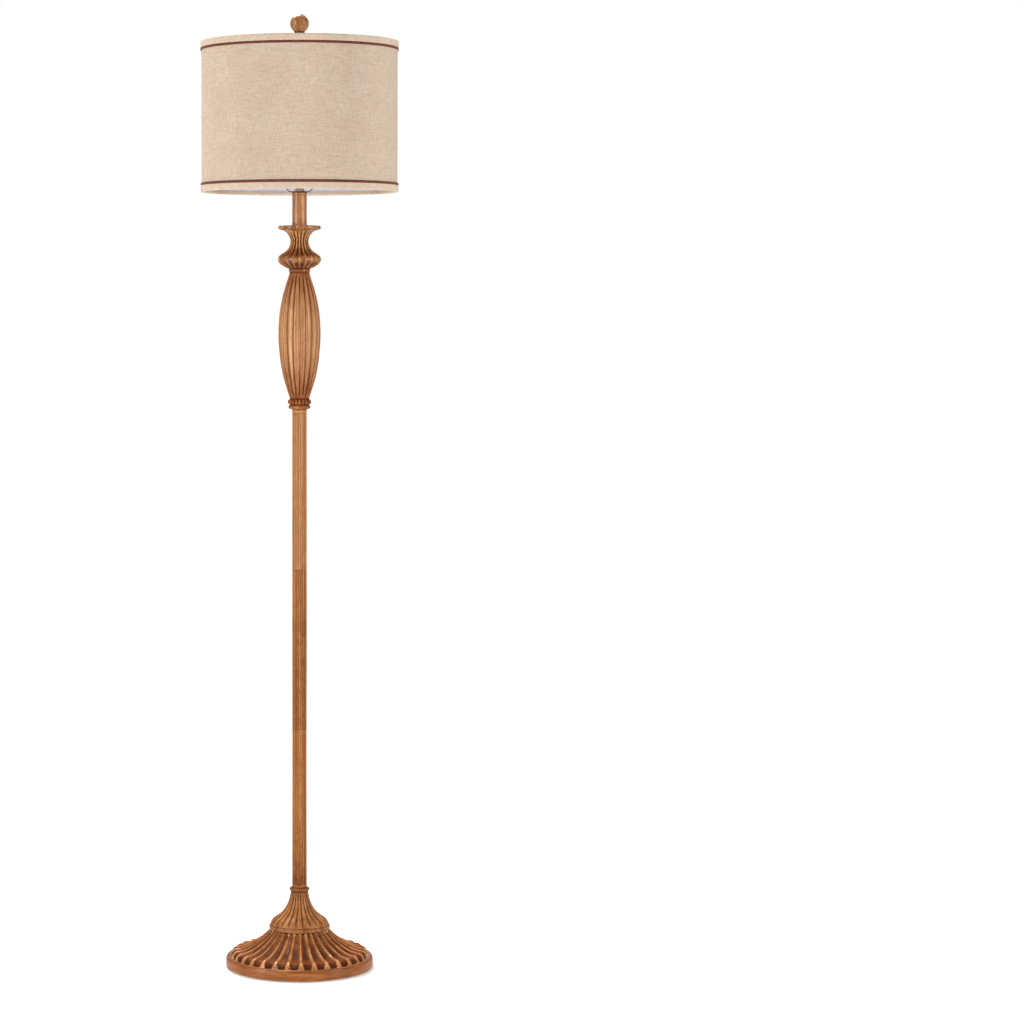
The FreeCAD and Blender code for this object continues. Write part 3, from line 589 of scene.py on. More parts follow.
def carving_tree():
    """The grid over the surface, its grooves, and what the finish needs to know."""
    tree, given = new_group("carved_turning", "GeometryNodeTree", turning_inputs,
                            [("Piece", "NodeSocketGeometry")])
    curve = outline_curve(tree, given)
    points = geometry(tree, "AttributeDomainSize", {"Geometry": curve}, component="CURVE")
    rows = plus(points, given["Closed"])
    columns = plus(given["Columns"], 1)
    grid = geometry(tree, "MeshGrid", {"Vertices X": columns, "Vertices Y": rows})
    index = geometry(tree, "InputIndex")
    column = maths("FLOOR", over(plus(index, 0.5), rows))
    row = minus(index, times(column, rows))
    point = maths("MODULO", row, points)

    def on_curve(kind, value):
        sample = {"Geometry": curve, "Value": value, "Index": point}
        return geometry(tree, "SampleIndex", sample, data_type=kind)

    def knot_value(name):
        named = geometry(tree, "InputNamedAttribute", {"Name": name}, data_type="FLOAT")
        return on_curve("FLOAT", named)

    place = split(on_curve("FLOAT_VECTOR", geometry(tree, "InputPosition")))
    heading = split(on_curve("FLOAT_VECTOR", geometry(tree, "InputTangent")))
    turn = times(over(column, given["Columns"]), 2 * math.pi)
    angle = plus(turn, math.pi / 2)
    groove = times(knot_value("carve"), groove_shape(given, turn, knot_value("width")))
    cut = times(times(groove, given["Depth"]), -1)
    ray_x, ray_y = maths("COSINE", angle), maths("SINE", angle)
    plain = joined(times(ray_x, place[0]), times(ray_y, place[0]), place[2])
    uneven = minus(noise(plain, over(1, given["Wobble size"]), 2.0), 0.5)
    wobble = times(uneven, given["Wobble"])
    radius = plus(plus(place[0], wobble), times(heading[2], cut))
    height = minus(place[2], times(heading[0], cut))
    spot = joined(times(ray_x, radius), times(ray_y, radius), height)
    body = geometry(tree, "SetPosition", {"Geometry": grid, "Position": spot})

    def stored(mesh, name, kind, domain, value):
        what = {"Geometry": mesh, "Name": name, "Value": value}
        return geometry(tree, "StoreNamedAttribute", what, data_type=kind, domain=domain)

    body = stored(body, "groove", "FLOAT", "POINT", groove)
    for name in ("glaze", "age_and_shading"):
        body = stored(body, name, "FLOAT", "POINT", knot_value(name))
    run = on_curve("FLOAT", put(tree, "GeometryNodeSplineParameter")["Length"])
    closing = times(maths("GREATER_THAN", row, minus(points, 0.5)),
                    geometry(tree, "CurveLength", {"Curve": curve}))
    flat = joined(times(turn, given["Unrolled radius"]), plus(run, closing), 0)
    flat = geometry(tree, "FieldOnDomain", {"Value": flat}, data_type="FLOAT_VECTOR", domain="POINT")
    body = stored(body, "UVMap", "FLOAT2", "CORNER", flat)
    end_group(tree, Piece=finished_surface(tree, body, given["Finish"]))
    return tree


carving = carving_tree()
print("carving tree with", len(carving.nodes), "nodes")

# %% [markdown]
# ## From knots to a piece
#
# A knot is one point of an outline. Its numbers always come in this order: radius and height in millimetres,
# how deep and how wide the groove is there, how much glaze pools there, and its age and shading, which
# darkens above nought and is a painted highlight below it. The tables of the baluster, the vase and the
# bell's flare give radius and height as shares of the piece's own.
# A soft knot bends and a sharp knot is a corner. The wire carries these numbers as named attributes, the
# tree runs once, and its result is kept as a plain mesh. At a width of 1 no land is left, and two hollows
# meet in a thin ridge. An outline could also be drawn by hand as a curve, but a table of numbers can be
# measured, and changed one number at a time.

# %% Knots
pipe_bore = 5.3
tube_bore = 11.3
tube_bevel = 12.1
dome_ribs, bell_flutes, pole_flutes, column_flutes = 32, 24, 22, 20


def soft(radius, height, carve=0.0, width=1.0, glaze=0.0, age_and_shading=0.0):
    return (radius, height, carve, width, glaze, age_and_shading, False)


def sharp(radius, height, carve=0.0, width=1.0, glaze=0.0, age_and_shading=0.0):
    return (radius, height, carve, width, glaze, age_and_shading, True)


def span(node):
    """A frame node's radius, lowest height and highest height, in millimetres."""
    low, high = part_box(node)
    return high.x / mm, low.z / mm, high.z / mm


def lifted(base, *knots):
    """The same knots, with their heights counted from the base."""
    return [(radius, base + height, *rest) for radius, height, *rest in knots]


def shaped(knots, radius, low, height):
    """Soft knots from rows whose radius and height are shares of a piece's own."""
    return [soft(r * radius, low + z * height, *looks) for r, z, *looks in knots]


print("the pole's radius is", round(span("pole_lower")[0], 2), "mm")

# %% Turned pieces


def turned_piece(name, outline, **sizes):
    """Runs the carving tree over an outline of knots and keeps the result as a plain mesh."""
    wire = bpy.data.meshes.new(name + "_outline")
    wire.from_pydata([(knot[0] * mm, 0, knot[1] * mm) for knot in outline],
                     [(i, i + 1) for i in range(len(outline) - 1)], [])
    for spot, channel in enumerate(("carve", "width", "glaze", "age_and_shading"), start=2):
        layer = wire.attributes.new(channel, "FLOAT", "POINT")
        layer.data.foreach_set("value", [knot[spot] for knot in outline])
    corner = wire.attributes.new("corner", "BOOLEAN", "POINT")
    corner.data.foreach_set("value", [knot[-1] for knot in outline])
    holder = new_object(name + "_outline", wire)
    turning = holder.modifiers.new("turning", "NODES")
    turning.node_group = carving
    chosen = {key.replace("_", " ").capitalize(): value for key, value in sizes.items()}
    for socket in carving.interface.items_tree:
        if socket.in_out == "INPUT" and socket.name in chosen:
            turning[socket.identifier] = chosen.pop(socket.name)
    assert not chosen, chosen
    done = holder.evaluated_get(bpy.context.evaluated_depsgraph_get())
    mesh = bpy.data.meshes.new_from_object(done)
    mesh.name = name
    mesh.materials.clear()
    mesh.materials.append(sizes["finish"])
    mesh.polygons.foreach_set("material_index", [0] * len(mesh.polygons))
    bpy.data.objects.remove(holder)
    piece = new_object(name, mesh)
    print(name, len(mesh.polygons), "faces")
    return piece


def dress(piece, node, body):
    """The piece rides on the body and stands for the node, whose own mesh is hidden."""
    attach(piece, body)
    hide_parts(node)


print("each piece is made by", carving.name, "and then rides on its body")

# %% [markdown]
# ## The base: plinth and ribbed dome
#
# Plinth and dome are one casting. Thirty-two thin ribs run down the dome and over its knuckles, with broad
# scallops between them. In the tree a scallop is a very wide groove, and the rib is what is left between
# two of them. At the ledge the scallop starts at full depth within a third of a millimetre, so each hollow
# ends in an upright wall like an arch, and the knot's width there is smaller, so the rib's foot spreads.
# One rib could also be modelled and copied round the axis, but it would have to be joined to the dome, and
# here rib and dome are one skin from the start. The plinth shows no ribs, so its faces take a wood of their
# own whose grain runs round the rim.

# %% Dome and plinth
crest_radius, crest_height = 105, 31
ledge_height = 19.7
knuckle_reach, knuckle_rise = 12, 11.3
seat_radius, sweep_rise = 50, 35
plinth_inner_edge, plinth_top = 0.1178, 0.0202

_, dish_low, dish_top = span("base_dish")
dish_outline = [
    sharp(118.5, dish_low), sharp(124.0, dish_low), soft(124.4, dish_low + 0.5), soft(124.5, dish_low + 2),
    soft(124.5, 15), soft(124.1, 16.9), soft(123.0, 18.5), soft(121.4, 19.6), soft(119.8, 20),
    soft(119.0, 19.85), soft(118.4, 19.5), sharp(117.2, 19.4, width=0.5, glaze=0.9),
    sharp(117.0, ledge_height, 1.0, 0.60, 0.9),
]
# Last column: darker towards the ledge; just below the crest, below nought, a painted highlight.
knuckle_shape = ((8, 0.63, 0.9, 0.7), (16, 0.68, 0.85, 0.6), (28, 0.74, 0.7, 0.5), (42, 0.79, 0.5, 0.3),
                 (57, 0.83, 0.25, 0.1), (73, 0.86, 0, -0.2))
for turn_up, width, glaze, age_and_shading in knuckle_shape:
    angle = math.radians(turn_up)
    dish_outline.append(soft(crest_radius + knuckle_reach * math.cos(angle),
                             ledge_height + knuckle_rise * math.sin(angle), 1.0, width, glaze, age_and_shading))
# The crest's value below nought is a painted highlight.
dish_outline.append(soft(crest_radius, crest_height, 0.92, 0.90, 0.0, -0.6))
# Dome sweep: a painted highlight next to the crest, then darker towards the bell.
dome_sweep = ((0.83, 0.06, 0.8, 0.91, 0, -0.3), (0.65, 0.18, 0.7, 0.94, 0, 0.2),
              (0.45, 0.36, 0.6, 0.97, 0, 0.3), (0.26, 0.57, 0.5, 1, 0, 0.4),
              (0.12, 0.77, 0.44, 1, 0, 0.5))
for across, up, *looks in dome_sweep:
    dish_outline.append(soft(seat_radius + across * (crest_radius - seat_radius),
                             crest_height + up * sweep_rise, *looks))
dish_outline += [
    soft(52.2, 62.3, 0.42, 0.95, 0.5, 0.6), sharp(seat_radius, dish_top, 0.42, 0.95, 1.0),
    sharp(pipe_bore, dish_top), sharp(pipe_bore, 61.1), soft(45.1, 61.1), soft(58, 44), soft(80, 29),
    soft(98, 22), soft(110, 17), sharp(118.5, 15),
]
dish = turned_piece("carved_dish", dish_outline, steps=5, columns=dome_ribs * 14, grooves=dome_ribs,
                    depth=4.6 * mm, first_groove=math.radians(1.4 + 180 / dome_ribs), bottom_roundness=3.2,
                    land_roundness=1.05, wobble=0.25 * mm, wobble_size=0.012, finish=dome_wood)
dish.data.materials.append(plinth_wood)
for face in dish.data.polygons:
    middle = face.center
    if math.hypot(middle.x, middle.y) > plinth_inner_edge and middle.z < plinth_top:
        face.material_index = 1
print("faces of the plinth", sum(face.material_index for face in dish.data.polygons))
dress(dish, "base_dish", "stand")

# %% [markdown]
# ## The bell and the pole
#
# The bell flares down to a plain rim. Its grooves are narrow cuts with rounded ends, so the lands between
# them widen towards the rim. The pole's grooves run straight through the two screwed joints, where only a
# fine dark line shows, and end rounded below the collar and above the ring. The three sections could be one
# long piece with two painted lines, but each is its own node in the frame and keeps its own ends.

# %% Bell
bell_radius, bell_low, bell_high = span("base_bell")
bell_flare = (
    (0.86, 0.26, 0.7, 0.42, 0, 0.35), (0.775, 0.305, 0.78, 0.4, 0, 0.3),
    (0.607, 0.408, 0.86, 0.4, 0, 0.25), (0.49, 0.517, 0.84, 0.43, 0, 0.26),
    (0.414, 0.625, 0.78, 0.47, 0, 0.3), (0.357, 0.731, 0.74, 0.5, 0, 0.35),
    (0.319, 0.838, 0.7, 0.53, 0, 0.42), (0.296, 0.93, 0.67, 0.55, 0, 0.5),
)
bell_outline = lifted(
    bell_low, sharp(pipe_bore, 0), sharp(seat_radius, 0, glaze=0.9, age_and_shading=0.8),
    soft(51.1, 0.5, glaze=0.4, age_and_shading=0.8), soft(51.4, 1.6, age_and_shading=0.75), soft(51.35, 4.2, age_and_shading=0.7),
    soft(50.7, 6.0, age_and_shading=0.7), soft(49.6, 6.9, glaze=0.4, age_and_shading=0.7), sharp(48.7, 7.2, glaze=0.8, age_and_shading=0.7),
    soft(48.9, 7.9, glaze=0.3, age_and_shading=0.6), soft(48.8, 9.4, width=0.30, age_and_shading=0.5),
    soft(48.3, 11.0, 0.35, 0.40, 0.0, 0.45), soft(47.3, 12.8, 0.60, 0.44, 0.0, 0.4))
bell_outline += shaped(bell_flare, bell_radius, bell_low, bell_high - bell_low)
bell_outline += [sharp(14.7, bell_high, 0.6, 0.56, 1.0), sharp(pipe_bore, bell_high)]
bell = turned_piece("carved_bell", bell_outline, steps=7, columns=bell_flutes * 12, grooves=bell_flutes,
                    depth=1.5 * mm, first_groove=math.radians(7.5), bottom_roundness=1.8, land_roundness=1.4,
                    wobble=0.2 * mm, wobble_size=0.012, finish=bell_wood)
dress(bell, "base_bell", "stand")

# %% Outline of a pole section
groove_width = 0.72
least_width = 0.02
end_length = 3.2
end_steps = (0.0, 0.08, 0.3, 0.62, 1.0)


def pole_outline(node, plain_foot, plain_head, darkening_steps):
    """One section. A plain end keeps a smooth band, and its grooves end round. Darkening steps run foot to
    head.
    """
    radius, low, high = span(node)

    def knot(kind, across, height, carve=0.0, width=1.0, glaze=0.0):
        share, age_and_shading = (height - low) / (high - low), darkening_steps[-1][1]
        for (start, first), (end, last) in reversed(list(zip(darkening_steps, darkening_steps[1:]))):
            if share <= end:
                age_and_shading = first + (last - first) * (share - start) / (end - start)
        return kind(across, height, carve, width, glaze, age_and_shading)

    def grooved(height, glaze=0.0):
        return knot(sharp, radius, height, 1, groove_width, glaze)

    def round_end(edge, way):
        """Where the grooves open, from nothing at the edge to their full depth and width."""
        opened = [(share, math.sqrt(1 - (1 - share) ** 2)) for share in end_steps]
        return [knot(sharp, radius, edge + way * share * end_length, open_share,
                     groove_width * open_share + least_width) for share, open_share in opened]

    knots = [knot(sharp, tube_bore, low), knot(sharp, tube_bevel, low, glaze=1)]
    if plain_foot:
        knots += [knot(soft, radius, low + 0.4, glaze=0.5), knot(sharp, radius, low + 1.2)]
        knots += round_end(low + plain_foot, 1)
    else:
        knots += [grooved(low + 0.35, 0.5), grooved(low + 1.0)]
    knots += [grooved(low + share * (high - low)) for share, _ in darkening_steps[1:-1]]
    if plain_head:
        knots += reversed(round_end(high - plain_head, -1))
        knots += [knot(sharp, radius, high - 1.2, glaze=0.5), knot(soft, radius, high - 0.4, glaze=0.6)]
    else:
        knots += [grooved(high - 1.0), grooved(high - 0.35, 0.5)]
    return knots + [knot(sharp, tube_bevel, high, glaze=1), knot(sharp, tube_bore, high)]


print("a groove's rounded end is", end_length, "mm long")

# %% Pole sections
# Each section darkens towards its foot; the upper section's last step is painted shadow below the collar.
lower_darkening = ((0.0, 1.0), (0.05, 0.8), (0.12, 0.45), (0.30, 0.25), (0.50, 0.05), (1.0, 0.0))
middle_darkening = ((0.0, 0.35), (0.65, 0.3), (0.82, 0.0), (1.0, 0.0))
upper_darkening = ((0.0, 0.15), (0.45, 0.1), (0.60, 0.0), (0.96, 0.0), (1.0, 0.9))
for node, foot, head, darkening_steps, wood in (("pole_lower", 4.0, 0, lower_darkening, pole_wood),
                                     ("pole_middle", 0, 0, middle_darkening, pole_wood),
                                     ("pole_upper", 0, 5.0, upper_darkening, upper_pole_wood)):
    section = turned_piece("fluted_" + node, pole_outline(node, foot, head, darkening_steps), steps=3,
                           columns=pole_flutes * 12, grooves=pole_flutes, depth=0.95 * mm,
                           first_groove=math.radians(-4.4), bottom_roundness=2.0, land_roundness=1.1,
                           finish=wood)
    dress(section, node, "stand")

# %% [markdown]
# ## The column: collar, baluster and vase
#
# The collar's upper ring is a row of twenty small lobes, made with a pointed groove as wide as its share.
# The baluster has twenty rounded flutes whose grooves run together towards both ends. On the vase the
# groove changes its character on the way up: tight under the belly, shallow at the widest line, a broad
# hollow on the shoulder, narrow at the waist and gone below the lip. All three could be sculpted, but a
# table of knots gives every flute the same shape, as a carver's template does.

# %% Gadroon collar
_, collar_low, collar_high = span("gadroon_collar")
collar_outline = lifted(
    collar_low, sharp(pipe_bore, 0), sharp(14.8, 0, glaze=1), soft(16.4, 0.3, glaze=0.5), soft(18.1, 1.6),
    soft(18.6, 3.5), soft(18.1, 5.5), soft(16.6, 6.9, glaze=0.8))
collar_outline += lifted(
    collar_low + 7.2, sharp(16.0, 0, glaze=1, width=0.6), soft(17.2, 0.7, 0.5, 0.9, 0.7),
    soft(18.8, 1.9, 0.9), soft(19.75, 3.6, 1.0), soft(19.9, 5.0, 1.0), soft(19.4, 6.8, 1.0),
    soft(18.0, 8.6, 0.9, glaze=0.2))
collar_outline += [sharp(16.2, collar_high, 0.3, glaze=1), sharp(pipe_bore, collar_high)]
collar = turned_piece("gadroon_ring", collar_outline, steps=5, columns=column_flutes * 14,
                      grooves=column_flutes, depth=1.5 * mm, first_groove=math.radians(9),
                      bottom_roundness=1.1, land_roundness=1.9, finish=collar_wood)
dress(collar, "gadroon_collar", "stand")

# %% Baluster
baluster_knots = (
    (0.45, 0, 0, 0.7, 1, 1), (0.468, 0.01, 0.05, 0.2, 0.5, 0.9),
    (0.5, 0.024, 0.6, 0.6, 0.2, 0.8), (0.54, 0.044, 0.98, 0.78, 0.1, 0.75),
    (0.59, 0.07, 1.05, 0.78, 0, 0.7), (0.75, 0.16, 1, 0.72, 0, 0.6),
    (0.865, 0.25, 0.84, 0.64, 0, 0.3), (0.955, 0.37, 0.7, 0.6, 0, 0.05),
    (1, 0.515, 0.62, 0.6, 0, 0), (0.96, 0.65, 0.7, 0.6, 0, 0.05),
    (0.85, 0.77, 0.84, 0.64, 0, 0.2), (0.7, 0.87, 1, 0.72, 0, 0.4),
    (0.55, 0.95, 1.05, 0.78, 0.1, 0.55), (0.502, 0.975, 0.6, 0.6, 0.2, 0.8),
    (0.474, 0.989, 0.05, 0.2, 0.5, 0.9), (0.455, 1, 0, 0.7, 1, 1),
)
baluster_radius, baluster_low, baluster_high = span("baluster")
baluster_outline = [sharp(pipe_bore, baluster_low)]
baluster_outline += shaped(baluster_knots, baluster_radius, baluster_low, baluster_high - baluster_low)
baluster_outline += [sharp(pipe_bore, baluster_high)]
baluster = turned_piece("fluted_baluster", baluster_outline, steps=7, columns=column_flutes * 14,
                        grooves=column_flutes, depth=2.1 * mm, bottom_roundness=1.2, land_roundness=1.4,
                        wobble=0.2 * mm, wobble_size=0.015, finish=baluster_wood)
dress(baluster, "baluster", "stand")

# %% Vase
vase_knots = (
    (0.488, 0, 0, 0.9, 1, 0.8), (0.56, 0.012, 0.35, 0.8, 0.5, 0.8),
    (0.713, 0.046, 0.75, 0.9, 0.2, 0.6), (0.87, 0.1, 0.7, 0.9, 0, 0.5),
    (0.965, 0.155, 0.38, 0.9, 0, 0.5), (1, 0.218, 0.28, 0.9, 0, 0.2),
    (0.97, 0.275, 0.36, 0.98, 0, 0.4), (0.85, 0.333, 0.66, 1, 0, 0.4),
    (0.68, 0.387, 0.82, 0.96, 0, 0.2), (0.555, 0.45, 0.84, 0.84, 0, 0.1),
    (0.474, 0.515, 0.8, 0.72, 0, 0), (0.426, 0.62, 0.76, 0.62, 0, 0),
    (0.447, 0.71, 0.76, 0.6, 0, 0.1), (0.535, 0.798, 0.66, 0.5, 0, 0.1),
    (0.646, 0.856, 0.34, 0.4, 0.1, 0.2), (0.74, 0.884, 0, 0.1, 0.3, 0.3),
    (0.88, 0.905, 0, 1, 0.6, 0), (0.95, 0.918, 0, 1, 0.3, 0.6),
    (0.995, 0.942, 0, 1, 0, 0.55), (0.995, 0.966, 0, 1, 0, 0.5),
    (0.95, 0.994, 0, 1, 0, 0.5),
)
vase_radius, vase_low, _ = span("vase")
vase_top = span("neck_ring")[1]
spigot_radius, spigot_top = 11.0, vase_top + 3
vase_outline = [sharp(pipe_bore, vase_low)]
vase_outline += shaped(vase_knots, vase_radius, vase_low, vase_top - vase_low)
vase_outline += [
    soft(0.90 * vase_radius, vase_top), soft(0.60 * vase_radius, vase_top - 0.5),
    sharp(0.38 * vase_radius, vase_top - 0.3, glaze=1), sharp(spigot_radius, vase_top),
    sharp(spigot_radius, spigot_top), sharp(pipe_bore, spigot_top),
]
vase = turned_piece("carved_vase", vase_outline, steps=6, columns=column_flutes * 14, grooves=column_flutes,
                    depth=2.8 * mm, first_groove=math.radians(9), bottom_roundness=2.6, land_roundness=1.05,
                    wobble=0.3 * mm, wobble_size=0.012, finish=vase_wood)
dress(vase, "vase", "stand")

# %% [markdown]
# ## Plain turned pieces: neck, its ring and the finial
#
# The neck is a smooth tube whose top edge is rolled: a fine line, then a slightly wider band. The finial is
# a ball on a bead, a hollow neck and a foot. A Screw modifier could spin these outlines too, but it takes
# the knots as they are and would leave straight lines between them. The same tree makes them with no groove
# at all, so their glaze lines come from the knots alone.

# %% Neck
neck_radius, neck_low, neck_high = span("neck_tube")
tube_inside = 11.1
neck_outline = [sharp(tube_inside, neck_low), sharp(neck_radius, neck_low)] + lifted(
    neck_high, sharp(neck_radius, -4.2), sharp(neck_radius, -3.9, glaze=0.6),
    soft(neck_radius - 0.25, -3.6, glaze=1), soft(neck_radius + 0.15, -3.2, glaze=0.3),
    soft(neck_radius + 0.4, -2.6), soft(neck_radius + 0.4, -0.6), soft(neck_radius + 0.1, -0.05),
    sharp(11.9, 0, glaze=0.8), sharp(tube_inside, 0))
neck = turned_piece("painted_neck", neck_outline, steps=5, columns=128, finish=neck_wood)
dress(neck, "neck_tube", "stand")

ring_radius, ring_low, ring_high = span("neck_ring")
ring_outline = [
    sharp(12.2, ring_low), sharp(ring_radius + 0.3, ring_low, glaze=1),
    soft(ring_radius + 0.5, ring_low + 0.8), soft(ring_radius + 0.1, ring_low + 2.2),
    soft(ring_radius, ring_high - 0.6), sharp(12.3, ring_high, glaze=0.8), sharp(12.2, ring_high),
]
neck_ring = turned_piece("painted_neck_ring", ring_outline, steps=4, columns=128, finish=neck_wood)
dress(neck_ring, "neck_ring", "stand")

# %% Finial
ball_radius, finial_low, finial_high = span("finial_ball")
ball_centre = finial_high - ball_radius
insert_radius, insert_depth, ball_foot = 4.88, 13.4, -55
finial_outline = lifted(
    finial_low, sharp(0.0, insert_depth), sharp(insert_radius, insert_depth), sharp(insert_radius, 0),
    sharp(8.1, 0, glaze=0.6), soft(8.5, 0.5), soft(8.5, 2.4), soft(7.9, 3.1, glaze=0.7), soft(6.6, 6.4),
    soft(6.6, 9.0), soft(7.6, 12.2, glaze=0.6), soft(8.7, 13.6, glaze=0.2), soft(9.2, 15.0),
    soft(8.9, 16.4, glaze=0.4), sharp(8.3, 17.2, glaze=1))
for turn_up in (ball_foot, -47, -35, -20, -5, 10, 25, 40, 55, 70, 80):
    angle = math.radians(turn_up)
    finial_outline.append(soft(ball_radius * math.cos(angle), ball_centre + ball_radius * math.sin(angle),
                               glaze=0.6 if turn_up == ball_foot else 0.0))
finial_outline.append(soft(0.0, finial_high))
finial = turned_piece("turned_finial", finial_outline, closed=False, steps=5, columns=96, finish=finial_wood)
dress(finial, "finial_ball", "finial")

# %% [markdown]
# ## Woven cloth
#
# Linen is a plain weave: each thread goes over one and under the next, both ways. The threads are uneven,
# so some are thick and dark for a few centimetres, which weavers call slubs, and the cloth takes the dye
# in soft patches. The weave follows the cloth's own flat measure, stored by the tree as a map in metres,
# so the threads keep their true size of just under a millimetre. The bands are the same cloth cut on the
# bias, which is the same group turned by 45 degrees. Real threads could be modelled one by one, but they
# cross about three hundred thousand times on this shade, and from a step away only their shading shows.

# %% Weave group


def weave_group():
    """Height of the threads, and masks for slubs, for thick threads that cross, and for patches."""
    inputs = [("Threads per metre", number, 1100.0), ("Turn", number, 0.0)]
    tree, given = new_group("plain_weave", "ShaderNodeTree", inputs,
                            [("Height", number), ("Slub", number), ("Hatch", number), ("Patch", number),
                             ("Warm", number)])
    flat = put(tree, "ShaderNodeUVMap", uv_map="UVMap")[0]
    turned = put(tree, "ShaderNodeVectorRotate", {"Vector": flat, "Angle": given["Turn"]},
                 rotation_type="Z_AXIS")[0]
    counted = put(tree, "ShaderNodeVectorMath", {0: turned, "Scale": given["Threads per metre"]},
                  operation="SCALE")[0]
    along = split(counted)
    heights, thick, slubs = [], [], []
    for this, other, phase in ((along[0], along[1], 0.0), (along[1], along[0], math.pi)):
        crown = maths("ABSOLUTE", maths("SINE", times(this, math.pi)))
        wave = times(plus(other, maths("FLOOR", this)), math.pi)
        lift = maths("SINE", plus(wave, phase))
        heights.append(times(crown, maths("MULTIPLY_ADD", lift, 0.32, 0.68)))

        def runs(across, lengthwise, detail):
            where = joined(times(this, across), times(other, lengthwise), phase * 9)
            return noise(where, 1.0, detail)

        thick.append(fade(runs(0.7, 0.05, 2.0), 0.42, 0.59))
        slubs.append(runs(0.62, 0.08, 1.0))
    height = maths("MAXIMUM", *heights)
    slub = fade(maths("MAXIMUM", *slubs), 0.62, 0.78)

    def patch(scale):
        return fade(noise(flat, scale, 3.0, roughness=0.6), 0.36, 0.64)

    end_group(tree, Height=maths("MULTIPLY_ADD", slub, 0.4, height), Slub=slub,
              Hatch=times(plus(*thick), 0.5), Patch=patch(24.0), Warm=patch(15.0))
    return tree


weave = weave_group()
print("weave with", len(weave.nodes), "nodes")

# %% Cloth finishes


def cloth_finish(name, pale, middle, warm, dark, turn=0.0, threads=1100.0, hatching=0.62, slubs=0.38,
                 relief=0.00016):
    """Woven cloth. Hatching and slubs say how strongly thick threads and slubs show in its colour."""
    finish, tree, paint = new_finish(name)
    cloth = group_node(tree, weave, Threads_per_metre=threads, Turn=turn)
    colour = tint(pale)
    for mask, share, tone in (("Patch", 0.15, middle), ("Warm", 0.2, warm), ("Hatch", hatching, middle),
                              ("Slub", slubs, dark)):
        colour = blend(times(cloth[mask], share), colour, tint(tone))
    tree.links.new(colour, paint["Base Color"])
    tree.links.new(maths("MULTIPLY_ADD", cloth["Hatch"], 0.06, 0.86), paint["Roughness"])
    tree.links.new(raised(cloth["Height"], relief, 0.35), paint["Normal"])
    paint["Specular IOR Level"].default_value = 0.25
    paint["Sheen Weight"].default_value = 0.12
    paint["Sheen Roughness"].default_value = 0.5
    return finish


linen = cloth_finish("slubbed_linen", "D4C1AC", "B69D86", "C6AD8A", "96714A")
bias_linen = cloth_finish("bias_cut_linen", "DECAB4", "BEA58B", "CEB48E", "A07A4E", turn=math.pi / 4)
braid = cloth_finish("brown_braid", "7A4432", "55291D", "6A3826", "33160E", turn=0.6, threads=1500.0,
                     hatching=0.8, slubs=0.6, relief=0.0003)
print("cloth finishes:", linen.name, bias_linen.name, braid.name)

# %% [markdown]
# ## The drum shade
#
# A white liner is glued to two wire rings, and the linen is stretched over it. A bias band is folded over
# each wire, and a narrow brown braid covers the band's inner edge. The outlines are thin closed walls. A
# cloth simulation could drape them, but cloth that is stretched over a frame lies where the frame puts it. A
# faint wobble, far below a millimetre, keeps them from looking like sheet metal.

# %% Linen cover
linen_thickness = 0.75


def straight_wall(radius, start, end, count=12):
    """Knots up or down a straight wall, with a corner at each end."""
    kinds = [sharp] + [soft] * (count - 2) + [sharp]
    return [kind(radius, start + (end - start) * i / (count - 1)) for i, kind in enumerate(kinds)]


linen_radius, linen_low, linen_high = span("linen_cover")
linen_outline = straight_wall(linen_radius, linen_low, linen_high)
linen_outline += straight_wall(linen_radius - linen_thickness, linen_high, linen_low)
linen_cover = turned_piece("linen_drum", linen_outline, steps=2, columns=256, wobble=0.35 * mm,
                           wobble_size=0.05, unrolled_radius=linen_radius * mm, finish=linen)
dress(linen_cover, "linen_cover", "shade")

# %% Bias bands
band_radius, _, top_high = span("top_trim")
bottom_low = span("bottom_trim")[1]
linen_face = 163.36


def band_outline(edge, inward):
    """Outside wall, over the wire, and the fold inside. Inward is 1 at the lower edge and -1 at the upper."""
    outside = [(linen_face, 10.95, 1), (164.75, 10.9, 1), (165.0, 10.4, 0), (165.0, 6.0, 0), (164.95, 2.2, 0),
               (164.5, 0.8, 0), (163.2, 0.12, 0), (161.0, 0.0, 0), (159.2, 0.25, 0), (158.1, 1.0, 0),
               (157.76, 2.4, 0), (157.76, 5.3, 1), (158.5, 5.4, 1), (158.55, 1.6, 0), (160.0, 0.8, 0),
               (linen_face, 1.2, 0)]
    knots = [(sharp if corner else soft)(radius, edge + inward * depth) for radius, depth, corner in outside]
    return knots if inward < 0 else knots[::-1]


bands = {}
for node, edge, inward in (("top_trim", top_high, -1), ("bottom_trim", bottom_low, 1)):
    outline = band_outline(edge, inward)
    bands[node] = turned_piece("bias_" + node, outline, steps=3, columns=256, wobble=0.3 * mm,
                               wobble_size=0.02, unrolled_radius=band_radius * mm, finish=bias_linen)
    dress(bands[node], node, "shade")

# %% Braids
for node in ("top_piping", "bottom_piping"):
    radius, low, high = span(node)
    outline = lifted(low, sharp(linen_face, 0), soft(164.2, 0.05), soft(164.8, 0.7))
    outline += [soft(radius, (low + high) / 2)]
    outline += lifted(high, soft(164.8, -0.7), soft(164.2, -0.05), sharp(linen_face, 0))
    piping = turned_piece("braid_" + node, outline, steps=4, columns=360, wobble=0.5 * mm,
                          wobble_size=0.004, unrolled_radius=radius * mm, finish=braid)
    dress(piping, node, "shade")
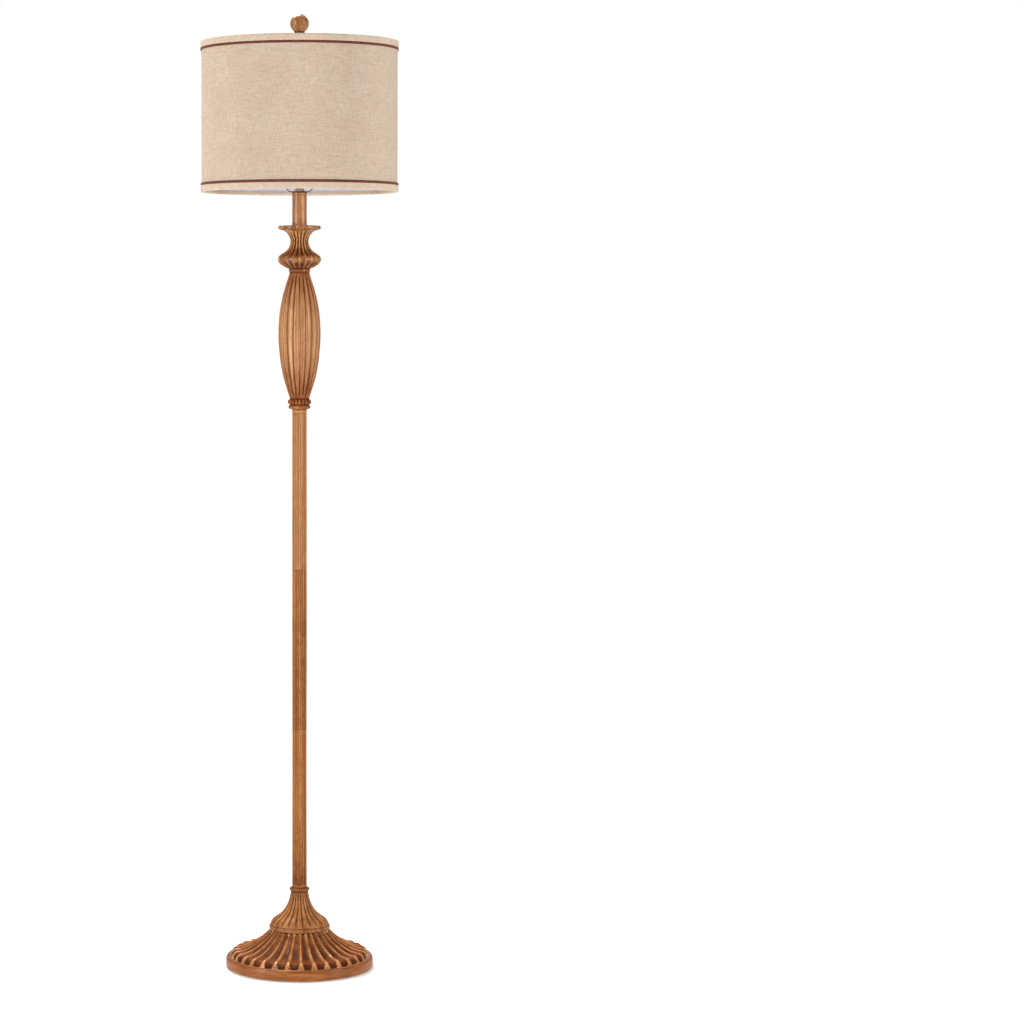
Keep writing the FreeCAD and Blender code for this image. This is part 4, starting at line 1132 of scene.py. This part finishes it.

# %%


# %% [markdown]
# ## Finishes of the metal and moulded parts
#
# These parts keep the frame's own shapes and only need a surface. Brass is slightly darkened, zinc is
# cloudy, black mouldings are satin with a fine grain, and the liner is a smooth and faintly cloudy white
# film. Each has its unevenness in colour, in roughness and in the bump. A flat colour would be simpler, but
# even metal and plastic are never quite even. The two plain wooden rings keep their shapes too and take the
# wood made for them.

# %% Metal and moulded finishes


def plain_finish(name, light, dark, metallic, rough_low, rough_high, scale, relief, coat=0.0):
    """Clouds between two tones, and a finer grain in roughness and bump. Relief is its depth in metres."""
    finish, tree, paint = new_finish(name)
    where = object_place(tree)
    broad, close = noise(where, scale, 4.0), noise(where, scale * 9, 3.0)
    share = fade(broad, 0.35, 0.68)
    tree.links.new(blend(share, tint(light), tint(dark)), paint["Base Color"])
    tree.links.new(fade(close, 0.3, 0.7, rough_low, rough_high), paint["Roughness"])
    tree.links.new(raised(close, relief, 0.5), paint["Normal"])
    paint["Metallic"].default_value = metallic
    paint["Coat Weight"].default_value = coat
    return finish


print("helper for a finish of two clouded tones")

# %% Finishes on the frame's own pieces
finishes = {
    "aged_brass": plain_finish("aged_brass", "8A6B47", "46331F", 1.0, 0.14, 0.30, 120, 0.00004),
    "zinc_steel": plain_finish("zinc_steel", "B9B9B4", "8C8C88", 1.0, 0.28, 0.45, 160, 0.00004),
    "iron": plain_finish("black_iron", "2B2B2C", "171718", 0.3, 0.55, 0.75, 90, 0.0003),
    "black_moulding": plain_finish("black_moulding", "262627", "19191A", 0.0, 0.38, 0.52, 220, 0.00004),
    "fibre_sleeve": plain_finish("fibre_board", "A98B5F", "8C6F46", 0.0, 0.75, 0.9, 140, 0.0001),
    "pad_rubber": plain_finish("pad_rubber", "2A2A2A", "1D1D1D", 0.0, 0.7, 0.9, 300, 0.0001),
    "liner_sheet": plain_finish("white_liner", "E3E0E8", "DEDAE3", 0.0, 0.35, 0.5, 12, 0.00003, coat=0.1),
}
rings = {"base_collar_ring": ring_wood, "baluster_ring": ring_wood}
finished = []
for row in frame["record"]["subparts"]:
    node, slot = row["node"], row["material_slot"]
    chosen = finishes.get(slot) or rings.get(node)
    if chosen:
        nodes[node].data.materials.clear()
        nodes[node].data.materials.append(chosen)
        finished.append(node)
print("finishes on", len(finished), "nodes:", *finished)
